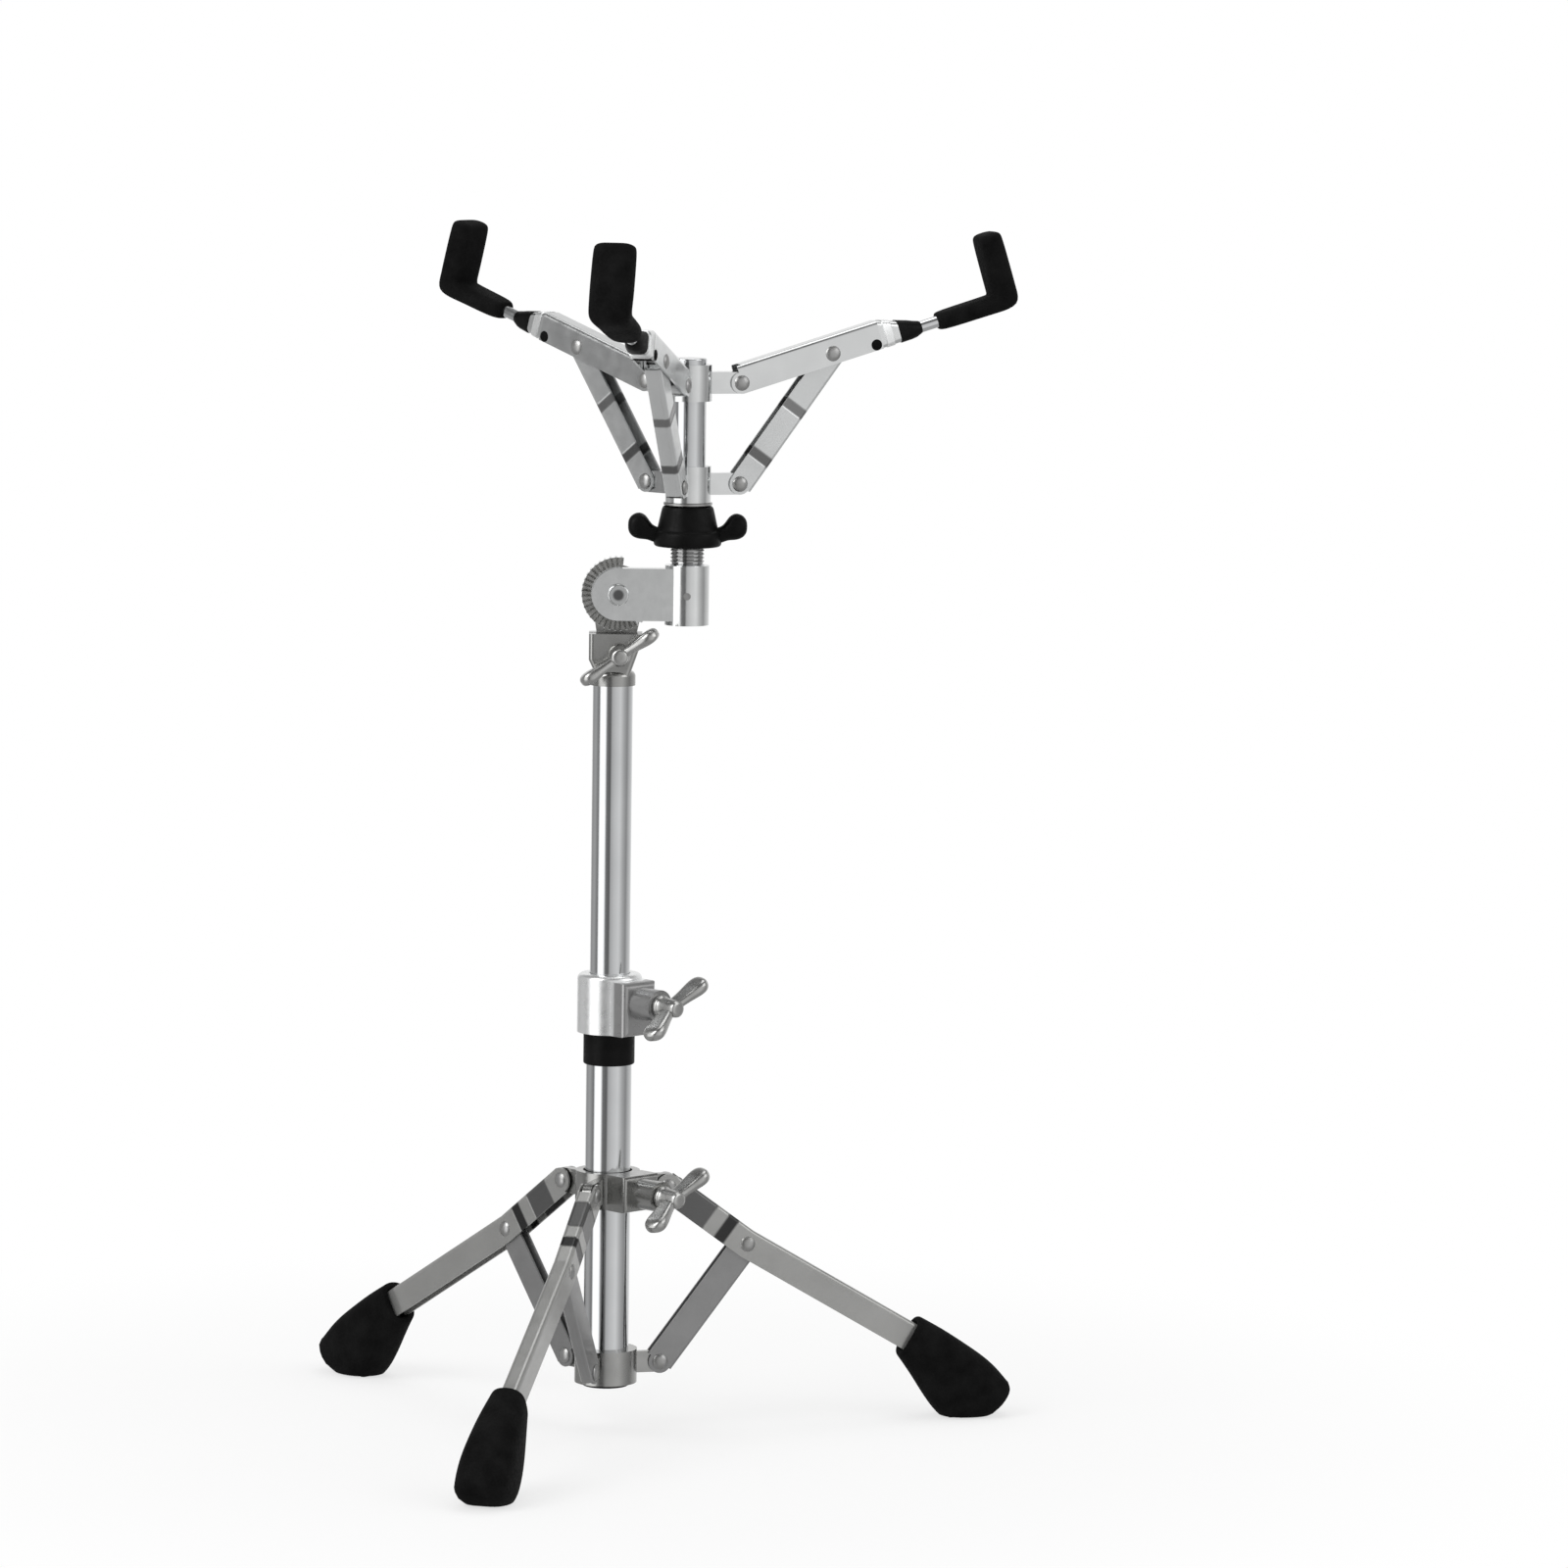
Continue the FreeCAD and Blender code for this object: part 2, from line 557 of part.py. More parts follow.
def make_leg():
    """Folded leg, bent at the knee. Its web is cut back at the top, so that the collar's lug fits in."""
    inner_heading = (KNEE - LEG_TOP).normalize()
    outer_heading = leg_heading()
    mitre = inner_heading + outer_heading
    half = LEG_DEPTH / 2
    section = (LEG_WIDTH, LEG_WALL, half, half, LEG_BEND_RADIUS)
    reach = (FOOT_MOUTH - LEG_TOP).Length * 2
    inner_part = channel(LEG_TOP, KNEE + inner_heading * half, *section)
    inner_part = inner_part.cut(beyond(KNEE, mitre, reach))
    foot_end = FOOT_MOUTH + outer_heading * FOOT_SOCKET_DEPTH
    outer_part = channel(KNEE - outer_heading * half, foot_end, *section)
    outer_part = outer_part.cut(beyond(KNEE, mitre * -1.0, reach))
    leg = inner_part.multiFuse([outer_part, cheeks(LEG_TOP, LEG_END_RADIUS, LEG_WIDTH, LEG_WALL)])
    fork = LEG_LUG_RADIUS + LEG_LUG_SLACK + SIDE_GAP
    leg = leg.cut(crossbar(LEG_TOP, 2 * fork, LEG_INNER_WIDTH))
    for centre in (LEG_TOP, KNEE):
        leg = leg.cut(crossbar(centre, PIN_DIAMETER + 2 * PIN_FIT, LEG_WIDTH + OVERSHOOT))
    return leg.removeSplitter()


def make_leg_pins():
    return [pin(centre, PIN_DIAMETER, LEG_WIDTH) for centre in (LEG_TOP, KNEE)]


def make_leg_strut():
    """Folded strut. Its channel ends short of the knee, so that the leg's web clears it when folded."""
    half = LEG_STRUT_DEPTH / 2
    channel_end = KNEE - (KNEE - LEG_STRUT_PIVOT).normalize() * LEG_STRUT_SETBACK
    bar = channel(LEG_STRUT_PIVOT, channel_end, LEG_STRUT_WIDTH, LEG_STRUT_WALL, half, half,
                  LEG_BEND_RADIUS, web_up=False)
    for centre in (LEG_STRUT_PIVOT, KNEE):
        bar = bar.fuse(cheeks(centre, LEG_STRUT_END_RADIUS, LEG_STRUT_WIDTH, LEG_STRUT_WALL))
    for centre in (LEG_STRUT_PIVOT, KNEE):
        bar = bar.cut(crossbar(centre, PIN_DIAMETER + 2 * RUNNING_FIT, LEG_STRUT_WIDTH + OVERSHOOT))
    return bar.removeSplitter()


def make_foot(leg):
    """Rubber boot: swells from its mouth on the leg to a wide flat sole."""
    heading = leg_heading()
    lift = V(-heading.z, 0, heading.x)
    outlines = []
    undersides = []
    for share, sag, depth_share, swell in FOOT_SECTIONS:
        centre = FOOT_MOUTH + heading * (FOOT_LENGTH * share) - lift * (FOOT_MOUTH_DEPTH * sag)
        width = FOOT_MOUTH_WIDTH + (FOOT_WIDTH - FOOT_MOUTH_WIDTH) * swell
        depth = FOOT_MOUTH_DEPTH * depth_share
        corner = min(width, depth) * FOOT_CORNER_SHARE
        outlines.append(rounded_outline(centre, SIDEWAYS, lift, width, depth, corner))
        undersides.append(centre.z - lift.z * depth / 2)
    boot = Part.makeLoft(outlines, True, False)
    # A flatter leg lifts the boot off the floor, and the sole then reaches up to it
    sole_top = max(min(undersides), 0) + FOOT_SOLE_THICKNESS
    sole_middle = FOOT_MOUTH_RADIUS + FOOT_LENGTH * heading.x * FOOT_SOLE_PLACE
    sole_rim = rounded_outline(V(sole_middle, 0, 0), V(1, 0, 0), SIDEWAYS, FOOT_SOLE_LENGTH,
                               FOOT_SOLE_WIDTH, FOOT_SOLE_CORNER)
    sole = Part.Face(sole_rim).extrude(UPWARD * sole_top)
    top_edges = [edge for edge in sole.Edges if edge.BoundBox.ZMin > sole_top - PIN_FIT]
    sole = sole.makeFillet(FOOT_SOLE_THICKNESS / 2, top_edges)
    reach = 4 * FOOT_LENGTH
    below_floor = Part.makeBox(reach, reach, reach, V(sole_middle - reach / 2, -reach / 2, -reach))
    return boot.fuse(sole).cut(below_floor).cut(leg).removeSplitter()


# Mast and tilter

def make_upper_tube():
    inner = UPPER_TUBE_OD - 2 * UPPER_TUBE_WALL
    return sleeve(UPPER_TUBE_OD, inner, UPPER_TUBE_BOTTOM, UPPER_TUBE_TOP)


def arm_back():
    """Y of the tilter plate's rear face, which the toothed disc stands on."""
    return PLATE_THICKNESS - TILTER_BLOCK_THICKNESS / 2 + SIDE_GAP


def make_tilter_base():
    """Casting plugged into the tube: a fan-shaped block, slit so that its wing bolt can pinch the disc."""
    plug_od = UPPER_TUBE_OD - 2 * UPPER_TUBE_WALL - 2 * TUBE_SOCKET_FIT
    block_top = UPPER_TUBE_TOP + TILTER_BLOCK_RISE
    cap_top = UPPER_TUBE_TOP + TILTER_CAP_HEIGHT
    half_neck = TILTER_NECK_WIDTH / 2
    half_block = TILTER_BLOCK_WIDTH / 2
    half_depth = TILTER_BLOCK_THICKNESS / 2
    plug = upright(plug_od, UPPER_TUBE_TOP - TILTER_PLUG_LENGTH, cap_top)
    cap = rounded_rims(upright(TILTER_CAP_OD, UPPER_TUBE_TOP, cap_top), TILTER_CAP_ROUNDING, [cap_top])
    outline = [
        V(-half_neck, 0, UPPER_TUBE_TOP + TILTER_CAP_HEIGHT / 2),
        V(half_neck, 0, UPPER_TUBE_TOP + TILTER_CAP_HEIGHT / 2),
        V(half_block + PIVOT_X, 0, block_top - TILTER_BASKET_SIDE_DROP),
        V(half_block + PIVOT_X, 0, block_top),
        V(-half_block, 0, block_top),
        V(-half_block, 0, block_top - TILTER_WING_SIDE_DROP),
    ]
    block = plate(outline, -half_depth, half_depth)
    upright_edges = [edge for edge in block.Edges if edge.BoundBox.YLength < PIN_FIT]
    side_edges = [edge for edge in upright_edges if edge.BoundBox.ZLength > TILTER_BLOCK_RISE / 4]
    block = block.makeFillet(TILTER_BLOCK_ROUNDING, side_edges)
    rear_middle = half_depth - TILTER_REAR_THICKNESS / 2
    rear_foot = V(PIVOT_X / 2, 0, UPPER_TUBE_TOP + TILTER_BLOCK_RISE / 2)
    rear = link(rear_foot, half_neck, PIVOT, TILTER_REAR_RADIUS, TILTER_REAR_THICKNESS)
    rear = shifted(rear, SIDEWAYS * rear_middle)
    slit_height = TILTER_BLOCK_RISE - TILTER_SLIT_FLOOR + OVERSHOOT
    slit_corner = V(-TILTER_BLOCK_WIDTH, arm_back() - TILTER_SLIT, UPPER_TUBE_TOP + TILTER_SLIT_FLOOR)
    slit = Part.makeBox(2 * TILTER_BLOCK_WIDTH, TILTER_SLIT, slit_height, slit_corner)
    body = plug.multiFuse([cap, block]).cut(slit).fuse(rear)
    wing_axis = V(TILTER_WING_X, 0, UPPER_TUBE_TOP + TILTER_WING_RISE)
    body = body.cut(crossbar(wing_axis, WING_SCREW_DIAMETER + 2 * SCREW_FIT, 2 * TILTER_BLOCK_THICKNESS))
    body = body.cut(crossbar(PIVOT, PIVOT_BOLT_DIAMETER + 2 * PIN_FIT, 2 * TILTER_BLOCK_THICKNESS))
    return body.removeSplitter()


def hex_nut(face, bolt_diameter):
    """Hexagon nut whose near face is at a point, standing towards +Y."""
    corner_radius = NUT_ACROSS_FLATS / math.sqrt(3)
    corners = []
    for index in range(6):
        angle = math.radians(60 * index)
        corners.append(face + V(math.cos(angle), 0, math.sin(angle)) * corner_radius)
    body = plate(corners, 0, NUT_HEIGHT)
    bore = Part.makeCylinder(bolt_diameter / 2 + PIN_FIT, NUT_HEIGHT, face, SIDEWAYS)
    return body.cut(bore)


def make_pivot_nut():
    rear = SIDEWAYS * (TILTER_BLOCK_THICKNESS / 2)
    return hex_nut(PIVOT + rear, PIVOT_BOLT_DIAMETER)


def make_pivot_bolt():
    front = PIVOT - SIDEWAYS * (PLATE_THICKNESS - arm_back() + SIDE_GAP)
    length = TILTER_BLOCK_THICKNESS / 2 + NUT_HEIGHT - front.y
    shank = Part.makeCylinder(PIVOT_BOLT_DIAMETER / 2, length, front, SIDEWAYS)
    head = Part.makeCylinder(PIVOT_BOLT_HEAD / 2, PIVOT_BOLT_HEAD_HEIGHT, front, SIDEWAYS * -1.0)
    far_face = front.y - PIVOT_BOLT_HEAD_HEIGHT
    rim = [edge for edge in head.Edges if edge.BoundBox.YMax < far_face + PIN_FIT]
    head = head.makeFillet(PIVOT_BOLT_HEAD_HEIGHT / 3, rim)
    return shank.fuse(head).removeSplitter()


def make_tilter_wing():
    bolt = wing_bolt(TILTER_BLOCK_THICKNESS)
    bolt.rotate(V(0, 0, 0), V(1, 0, 0), TILTER_WING_LEAN)
    bolt.rotate(V(0, 0, 0), UPWARD, -90)
    return shifted(bolt, V(TILTER_WING_X, -TILTER_BLOCK_THICKNESS / 2, UPPER_TUBE_TOP + TILTER_WING_RISE))


def make_tilter_arm():
    back = arm_back()
    middle = back - PLATE_THICKNESS / 2
    basket_side = V(BASKET_OFFSET, 0, PIVOT.z)
    arm = link(PIVOT, PLATE_HALF_HEIGHT, basket_side, PLATE_HALF_HEIGHT, PLATE_THICKNESS)
    arm = shifted(arm, SIDEWAYS * middle)
    right_of_post = beyond(basket_side, V(1, 0, 0), 4 * PLATE_HALF_HEIGHT)
    arm = arm.cut(right_of_post)
    rear_gap = TILTER_BLOCK_THICKNESS / 2 - TILTER_REAR_THICKNESS - SIDE_GAP
    disc_start = PIVOT + SIDEWAYS * (back - PLATE_THICKNESS / 2)
    disc_depth = rear_gap - disc_start.y
    disc = Part.makeCylinder(GEAR_RADIUS, disc_depth, disc_start, SIDEWAYS, GEAR_SWEEP)
    disc.rotate(PIVOT, SIDEWAYS, -GEAR_START)
    notches = []
    for tooth in range(GEAR_TEETH):
        angle = 2 * math.pi * tooth / GEAR_TEETH
        rim = disc_start + V(math.cos(angle), 0, math.sin(angle)) * GEAR_RADIUS
        notches.append(Part.makeCylinder(GEAR_NOTCH_RADIUS, disc_depth, rim, SIDEWAYS))
    disc = disc.cut(Part.makeCompound(notches))
    body = arm.multiFuse([disc, upright(SLEEVE_OD, SLEEVE_BOTTOM, SLEEVE_TOP, BASKET_OFFSET)])
    body = body.cut(upright(POST_OD, SLEEVE_BOTTOM - OVERSHOOT, SLEEVE_TOP + OVERSHOOT, BASKET_OFFSET))
    body = body.cut(crossbar(PIVOT, PIVOT_BOLT_DIAMETER + 2 * RUNNING_FIT, 2 * TILTER_BLOCK_THICKNESS))
    return body.cut(sleeve_rivet(SLEEVE_RIVET_DIAMETER + 2 * PIN_FIT)).removeSplitter()


def sleeve_rivet(diameter):
    """Cross rivet that holds the basket post in the tilter's sleeve."""
    centre = V(BASKET_OFFSET, 0, SLEEVE_BOTTOM + SLEEVE_HEIGHT / 2)
    return crossbar(centre, diameter, SLEEVE_OD)


# Basket, in its own axis, which make_all then moves beside the column

def make_post():
    outer = POST_OD / 2
    inner = outer - POST_WALL
    crest = THREAD_OD / 2
    thread_bottom = SLEEVE_TOP + SIDE_GAP
    turns = int(THREAD_LENGTH / THREAD_PITCH)
    profile = [V(inner, 0, SLEEVE_BOTTOM), V(outer, 0, SLEEVE_BOTTOM), V(outer, 0, thread_bottom)]
    for turn in range(turns):
        height = thread_bottom + turn * THREAD_PITCH
        profile.append(V(crest, 0, height + THREAD_FLAT / 2))
        profile.append(V(crest - THREAD_DEPTH, 0, height + THREAD_PITCH / 2))
        profile.append(V(crest, 0, height + THREAD_PITCH - THREAD_FLAT / 2))
    profile.append(V(outer, 0, thread_bottom + turns * THREAD_PITCH))
    profile += [V(outer, 0, POST_TOP), V(inner, 0, POST_TOP)]
    outline = Part.makePolygon(profile + [profile[0]])
    return Part.Face(outline).revolve(V(0, 0, 0), UPWARD, 360)


def make_post_cap():
    stem = POST_OD - 2 * POST_WALL - 2 * TUBE_SOCKET_FIT
    head = upright(POST_OD, POST_TOP, POST_TOP + CAP_HEIGHT)
    head = rounded_rims(head, CAP_HEIGHT / 2, [POST_TOP + CAP_HEIGHT])
    return head.fuse(upright(stem, POST_TOP - CAP_STEM, POST_TOP)).removeSplitter()


def make_upper_hub():
    hole = PIN_DIAMETER + 2 * RUNNING_FIT
    lug_width = ARM_INNER_WIDTH - 2 * SIDE_GAP
    return lug_ring(HUB_OD, POST_OD, HUB_HEIGHT, UPPER_HUB_HEIGHT, ARM_ROOT, HUB_LUG_RADIUS, lug_width,
                    [hole] * SIDES, ARM_AZIMUTH)


def make_lower_hub():
    hole = PIN_DIAMETER + 2 * PIN_FIT
    lug_width = ARM_STRUT_INNER_WIDTH - 2 * SIDE_GAP
    return lug_ring(HUB_OD, POST_OD + 2 * RUNNING_FIT, HUB_HEIGHT, LOWER_HUB_HEIGHT, ARM_STRUT_PIVOT,
                    HUB_LUG_RADIUS, lug_width, [hole] * SIDES, ARM_AZIMUTH)


def make_hub_pins():
    one = pin(ARM_STRUT_PIVOT, PIN_DIAMETER, ARM_STRUT_WIDTH + 2 * SIDE_GAP)
    return [turned(one, angle) for angle in side_azimuths(ARM_AZIMUTH)]


def arm_point(distance, rise):
    """Point at a distance along the arm from its hub pivot, and a rise square to it."""
    return ARM_ROOT + ARM_HEADING * distance + ARM_SQUARE * rise


def arm_rod(diameter):
    """Bent rod: out of the arm's nose, along under the drum, then up inside the grip."""
    start = arm_point(ARM_CHANNEL_LENGTH, -ARM_ROD_DROP)
    corner_distance = GRIP_END - GRIP_POST_THICKNESS / 2
    bend_start = arm_point(corner_distance - ARM_ROD_BEND, -ARM_ROD_DROP)
    bend_end = arm_point(corner_distance, ARM_ROD_BEND - ARM_ROD_DROP)
    half_turn = math.sqrt(0.5) * ARM_ROD_BEND
    bulge = arm_point(corner_distance - ARM_ROD_BEND + half_turn, ARM_ROD_BEND - half_turn - ARM_ROD_DROP)
    end = arm_point(corner_distance, GRIP_POST_HEIGHT - GRIP_DROP - ARM_ROD_GRIP_MARGIN)
    path = Part.Wire([
        Part.LineSegment(start, bend_start).toShape(),
        Part.Arc(bend_start, bulge, bend_end).toShape(),
        Part.LineSegment(bend_end, end).toShape(),
    ])
    section = Part.Wire([Part.Circle(start, ARM_HEADING, diameter / 2).toShape()])
    return path.makePipeShell([section], True, False)


def make_arm():
    """Folded arm with a drawn nose. Its web is cut back at the root, where the hub's lug turns in it."""
    nose_start = arm_point(ARM_CHANNEL_LENGTH, (ARM_WEB_RISE - ARM_DROP) / 2)
    nose_end = arm_point(ARM_CHANNEL_LENGTH + ARM_NOSE_LENGTH, -ARM_ROD_DROP)
    depth = ARM_WEB_RISE + ARM_DROP
    root_outline = rounded_outline(nose_start, SIDEWAYS, ARM_SQUARE, ARM_WIDTH, depth, ARM_BEND_RADIUS)
    tip_outline = rounded_outline(nose_end, SIDEWAYS, ARM_SQUARE, ARM_NOSE_DIAMETER, ARM_NOSE_DIAMETER,
                                  ARM_NOSE_DIAMETER * ROUND_END_SHARE)
    nose = Part.makeLoft([root_outline, tip_outline], True, True)
    channel_end = arm_point(ARM_CHANNEL_LENGTH, 0)
    arm = channel(ARM_ROOT, channel_end, ARM_WIDTH, ARM_WALL, ARM_WEB_RISE, ARM_DROP, ARM_BEND_RADIUS)
    arm = arm.multiFuse([nose, cheeks(ARM_ROOT, ARM_END_RADIUS, ARM_WIDTH, ARM_WALL)])
    fork = ARM_WEB_RISE + SIDE_GAP
    arm = arm.cut(crossbar(ARM_ROOT, 2 * fork, ARM_INNER_WIDTH))
    arm = arm.cut(arm_rod(ARM_ROD_DIAMETER + 2 * TUBE_SOCKET_FIT))
    arm = arm.cut(crossbar(ARM_ROOT, PIN_DIAMETER + 2 * PIN_FIT, ARM_WIDTH + OVERSHOOT))
    arm = arm.cut(crossbar(KNUCKLE, KNUCKLE_RIVET_DIAMETER + 2 * PIN_FIT, ARM_WIDTH + OVERSHOOT))
    return arm.removeSplitter()


def make_arm_pins():
    return [pin(ARM_ROOT, PIN_DIAMETER, ARM_WIDTH), pin(KNUCKLE, KNUCKLE_RIVET_DIAMETER, ARM_WIDTH)]


def make_grip():
    """Rubber sleeve bent in an L: a seat under the drum and a post beside it."""
    seat_rise = GRIP_SEAT_THICKNESS / 2 - GRIP_DROP
    seat_start = arm_point(GRIP_START, seat_rise)
    seat_length = GRIP_END - GRIP_POST_THICKNESS / 2 - GRIP_START
    seat_outline = rounded_outline(seat_start, SIDEWAYS, ARM_SQUARE, GRIP_SEAT_WIDTH, GRIP_SEAT_THICKNESS,
                                   GRIP_SEAT_THICKNESS * ROUND_END_SHARE)
    seat = Part.Face(seat_outline).extrude(ARM_HEADING * seat_length)
    post_base = arm_point(GRIP_END - GRIP_POST_THICKNESS / 2, -GRIP_DROP)
    post_outline = rounded_outline(post_base, SIDEWAYS, ARM_HEADING, GRIP_POST_WIDTH, GRIP_POST_THICKNESS,
                                   GRIP_POST_THICKNESS * ROUND_END_SHARE)
    post = Part.Face(post_outline).extrude(ARM_SQUARE * GRIP_POST_HEIGHT)
    end_edges = [edge for edge in post.Edges if edge.Length < GRIP_POST_HEIGHT / 2]
    post = post.makeFillet(GRIP_ROUNDING, end_edges)
    return seat.fuse(post).cut(arm_rod(ARM_ROD_DIAMETER + 2 * TUBE_SOCKET_FIT)).removeSplitter()


def make_arm_strut():
    bar = channel(ARM_STRUT_PIVOT, KNUCKLE, ARM_STRUT_WIDTH, ARM_STRUT_WALL, ARM_STRUT_WEB, ARM_STRUT_OPEN,
                  ARM_BEND_RADIUS, web_up=False)
    for centre in (ARM_STRUT_PIVOT, KNUCKLE):
        bar = bar.fuse(cheeks(centre, ARM_STRUT_END_RADIUS, ARM_STRUT_WIDTH, ARM_STRUT_WALL))
    bar = bar.cut(crossbar(ARM_STRUT_PIVOT, PIN_DIAMETER + 2 * RUNNING_FIT, ARM_STRUT_WIDTH + OVERSHOOT))
    open_hole = KNUCKLE_RIVET_DIAMETER + 2 * KNUCKLE_SLACK
    return bar.cut(crossbar(KNUCKLE, open_hole, ARM_STRUT_WIDTH + OVERSHOOT)).removeSplitter()


def make_washer():
    return sleeve(WASHER_OD, POST_OD + 2 * RUNNING_FIT, WASHER_BOTTOM, WASHER_BOTTOM + WASHER_THICKNESS)


def insert_bottom():
    """Height of the threaded insert, in the middle of the knob."""
    return KNOB_BOTTOM + (KNOB_HEIGHT - INSERT_HEIGHT) / 2


def make_knob():
    shoulder = KNOB_BOTTOM + KNOB_BASE_HEIGHT
    base = upright(KNOB_BASE_OD, KNOB_BOTTOM, shoulder)
    base = rounded_rims(base, KNOB_ROUNDING, [KNOB_BOTTOM, shoulder])
    taper_radius = KNOB_BASE_OD / 2 - KNOB_ROUNDING
    taper = Part.makeCone(taper_radius, KNOB_TOP_OD / 2, KNOB_TOP - shoulder, V(0, 0, shoulder))
    ears = []
    for side in (-1, 1):
        tip = V(side * KNOB_EAR_REACH, 0, KNOB_BOTTOM + KNOB_EAR_HEIGHT)
        root = V(0, 0, KNOB_BOTTOM + KNOB_BASE_HEIGHT / 2)
        ear = link(root, KNOB_BASE_HEIGHT / 2, tip, KNOB_EAR_RADIUS, KNOB_EAR_THICKNESS)
        ears.append(ear.makeFillet(KNOB_EAR_ROUNDING, ear.Edges))
    body = base.multiFuse([taper] + ears)
    body = body.cut(upright(THREAD_OD + 2 * SIDE_GAP, KNOB_BOTTOM - OVERSHOOT, KNOB_TOP + OVERSHOOT))
    return body.cut(upright(INSERT_OD, insert_bottom(), insert_bottom() + INSERT_HEIGHT)).removeSplitter()


def make_insert():
    bore = THREAD_OD + 2 * RUNNING_FIT
    return sleeve(INSERT_OD, bore, insert_bottom(), insert_bottom() + INSERT_HEIGHT)


def save(name, solids):
    """Write one node, a solid or a group of separate solids."""
    group = solids if isinstance(solids, list) else solids.Solids
    shape = group[0] if len(group) == 1 else Part.makeCompound(group)
    volume = sum(solid.Volume for solid in group)
    print(f"{name}: {len(group)} solid(s), {volume:.0f} mm3, valid {shape.isValid()}")
    shape.exportStep(f"parts/{name}.step")


def on_basket_axis(shape):
    """Move a shape, or a group, from the column's axis to the basket's."""
    if isinstance(shape, list):
        return [on_basket_axis(one) for one in shape]
    return shifted(shape, V(BASKET_OFFSET, 0, 0))


def turned_group(shape, azimuth):
    """Turn a shape, or each shape of a group, about the column's axis."""
    if isinstance(shape, list):
        return [turned(one, azimuth) for one in shape]
    return turned(shape, azimuth)


def make_all():
    """Every node of the stand, by name."""
    nodes = {
        "lower_tube": make_lower_tube(),
        "tube_end_plug": make_end_plug(),
        "lower_collar": make_lower_collar(),
        "lower_pivot_pins": make_lower_pins(),
        "height_clamp": make_height_clamp(),
        "clamp_liner": make_clamp_liner(),
        "clamp_skirt": make_clamp_skirt(),
        "clamp_wing_bolt": make_clamp_wing(),
        "leg_collar": make_leg_collar(),
        "collar_wing_bolt": make_collar_wing(),
        "upper_tube": make_upper_tube(),
        "tilter_base": make_tilter_base(),
        "tilter_pivot_bolt": make_pivot_bolt(),
        "tilter_pivot_nut": make_pivot_nut(),
        "tilter_wing_bolt": make_tilter_wing(),
        "tilter_arm": make_tilter_arm(),
        "sleeve_rivet": sleeve_rivet(SLEEVE_RIVET_DIAMETER),
        "basket_post": on_basket_axis(make_post()).cut(sleeve_rivet(SLEEVE_RIVET_DIAMETER + 2 * PIN_FIT)),
        "post_cap": on_basket_axis(make_post_cap()),
        "upper_hub": on_basket_axis(make_upper_hub()),
        "lower_hub": on_basket_axis(make_lower_hub()),
        "hub_pivot_pins": on_basket_axis(make_hub_pins()),
        "thrust_washer": on_basket_axis(make_washer()),
        "basket_knob": on_basket_axis(make_knob()),
        "knob_insert": on_basket_axis(make_insert()),
    }
    leg = make_leg()
    leg_side = {
        "leg": leg,
        "leg_pins": make_leg_pins(),
        "foot": make_foot(leg),
        "leg_strut": make_leg_strut(),
    }
    arm_side = {
        "basket_arm": make_arm(),
        "arm_pins": make_arm_pins(),
        "arm_rod": arm_rod(ARM_ROD_DIAMETER),
        "grip": make_grip(),
        "basket_strut": make_arm_strut(),
    }
    for number, azimuth in enumerate(side_azimuths(LEG_AZIMUTH), 1):
        for name, shape in leg_side.items():
            nodes[f"{name}_{number}"] = turned_group(shape, azimuth)
    for number, azimuth in enumerate(side_azimuths(ARM_AZIMUTH), 1):
        for name, shape in arm_side.items():
            nodes[f"{name}_{number}"] = on_basket_axis(turned_group(shape, azimuth))
    return nodes


os.makedirs("parts", exist_ok=True)
for node_name, node_shape in make_all().items():
    save(node_name, node_shape)
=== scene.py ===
# %% [markdown]
# # Snare drum stand
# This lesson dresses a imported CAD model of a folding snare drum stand. The tubes, castings and pressed
# steel bars come from the CAD frame and get finishes here. The moulded rubber, the knob, the wing bolts,
# the rivets and the small fittings are modelled here, because their soft edges are easier in Blender.

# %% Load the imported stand
import json
import math

import bmesh
import bpy
from mathutils import Matrix, Vector


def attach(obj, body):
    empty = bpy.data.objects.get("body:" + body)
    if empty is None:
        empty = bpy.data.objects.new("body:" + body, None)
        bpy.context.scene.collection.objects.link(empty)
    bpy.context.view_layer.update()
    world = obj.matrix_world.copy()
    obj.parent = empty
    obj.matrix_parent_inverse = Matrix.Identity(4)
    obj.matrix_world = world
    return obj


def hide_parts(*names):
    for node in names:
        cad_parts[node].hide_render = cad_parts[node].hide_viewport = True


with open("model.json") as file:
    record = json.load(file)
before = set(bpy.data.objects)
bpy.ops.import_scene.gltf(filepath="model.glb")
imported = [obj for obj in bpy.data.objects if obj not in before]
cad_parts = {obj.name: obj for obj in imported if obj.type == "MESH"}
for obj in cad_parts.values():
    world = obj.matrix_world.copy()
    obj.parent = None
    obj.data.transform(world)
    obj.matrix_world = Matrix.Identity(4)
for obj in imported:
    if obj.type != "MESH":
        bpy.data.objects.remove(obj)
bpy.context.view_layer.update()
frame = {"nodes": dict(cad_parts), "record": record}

# %% [markdown]
# ## Camera
# The photograph was taken from a few metres away, a little above the stand, with a long lens, so its
# upright lines stay nearly parallel. A camera can be aimed with a constraint or with angles. Angles are
# chosen here, because the yaw, pitch and roll were worked out from the tubes and feet in the picture.

# %% Set up the camera
FRAME_PIXELS = 1600
FOCAL_PIXELS = 7470
CAMERA_PLACE = Vector((-0.0007, -4.0382, 0.8273))
CAMERA_YAW = math.radians(1.366)
CAMERA_PITCH = math.radians(-6.534)
CAMERA_ROLL = math.radians(0.769)


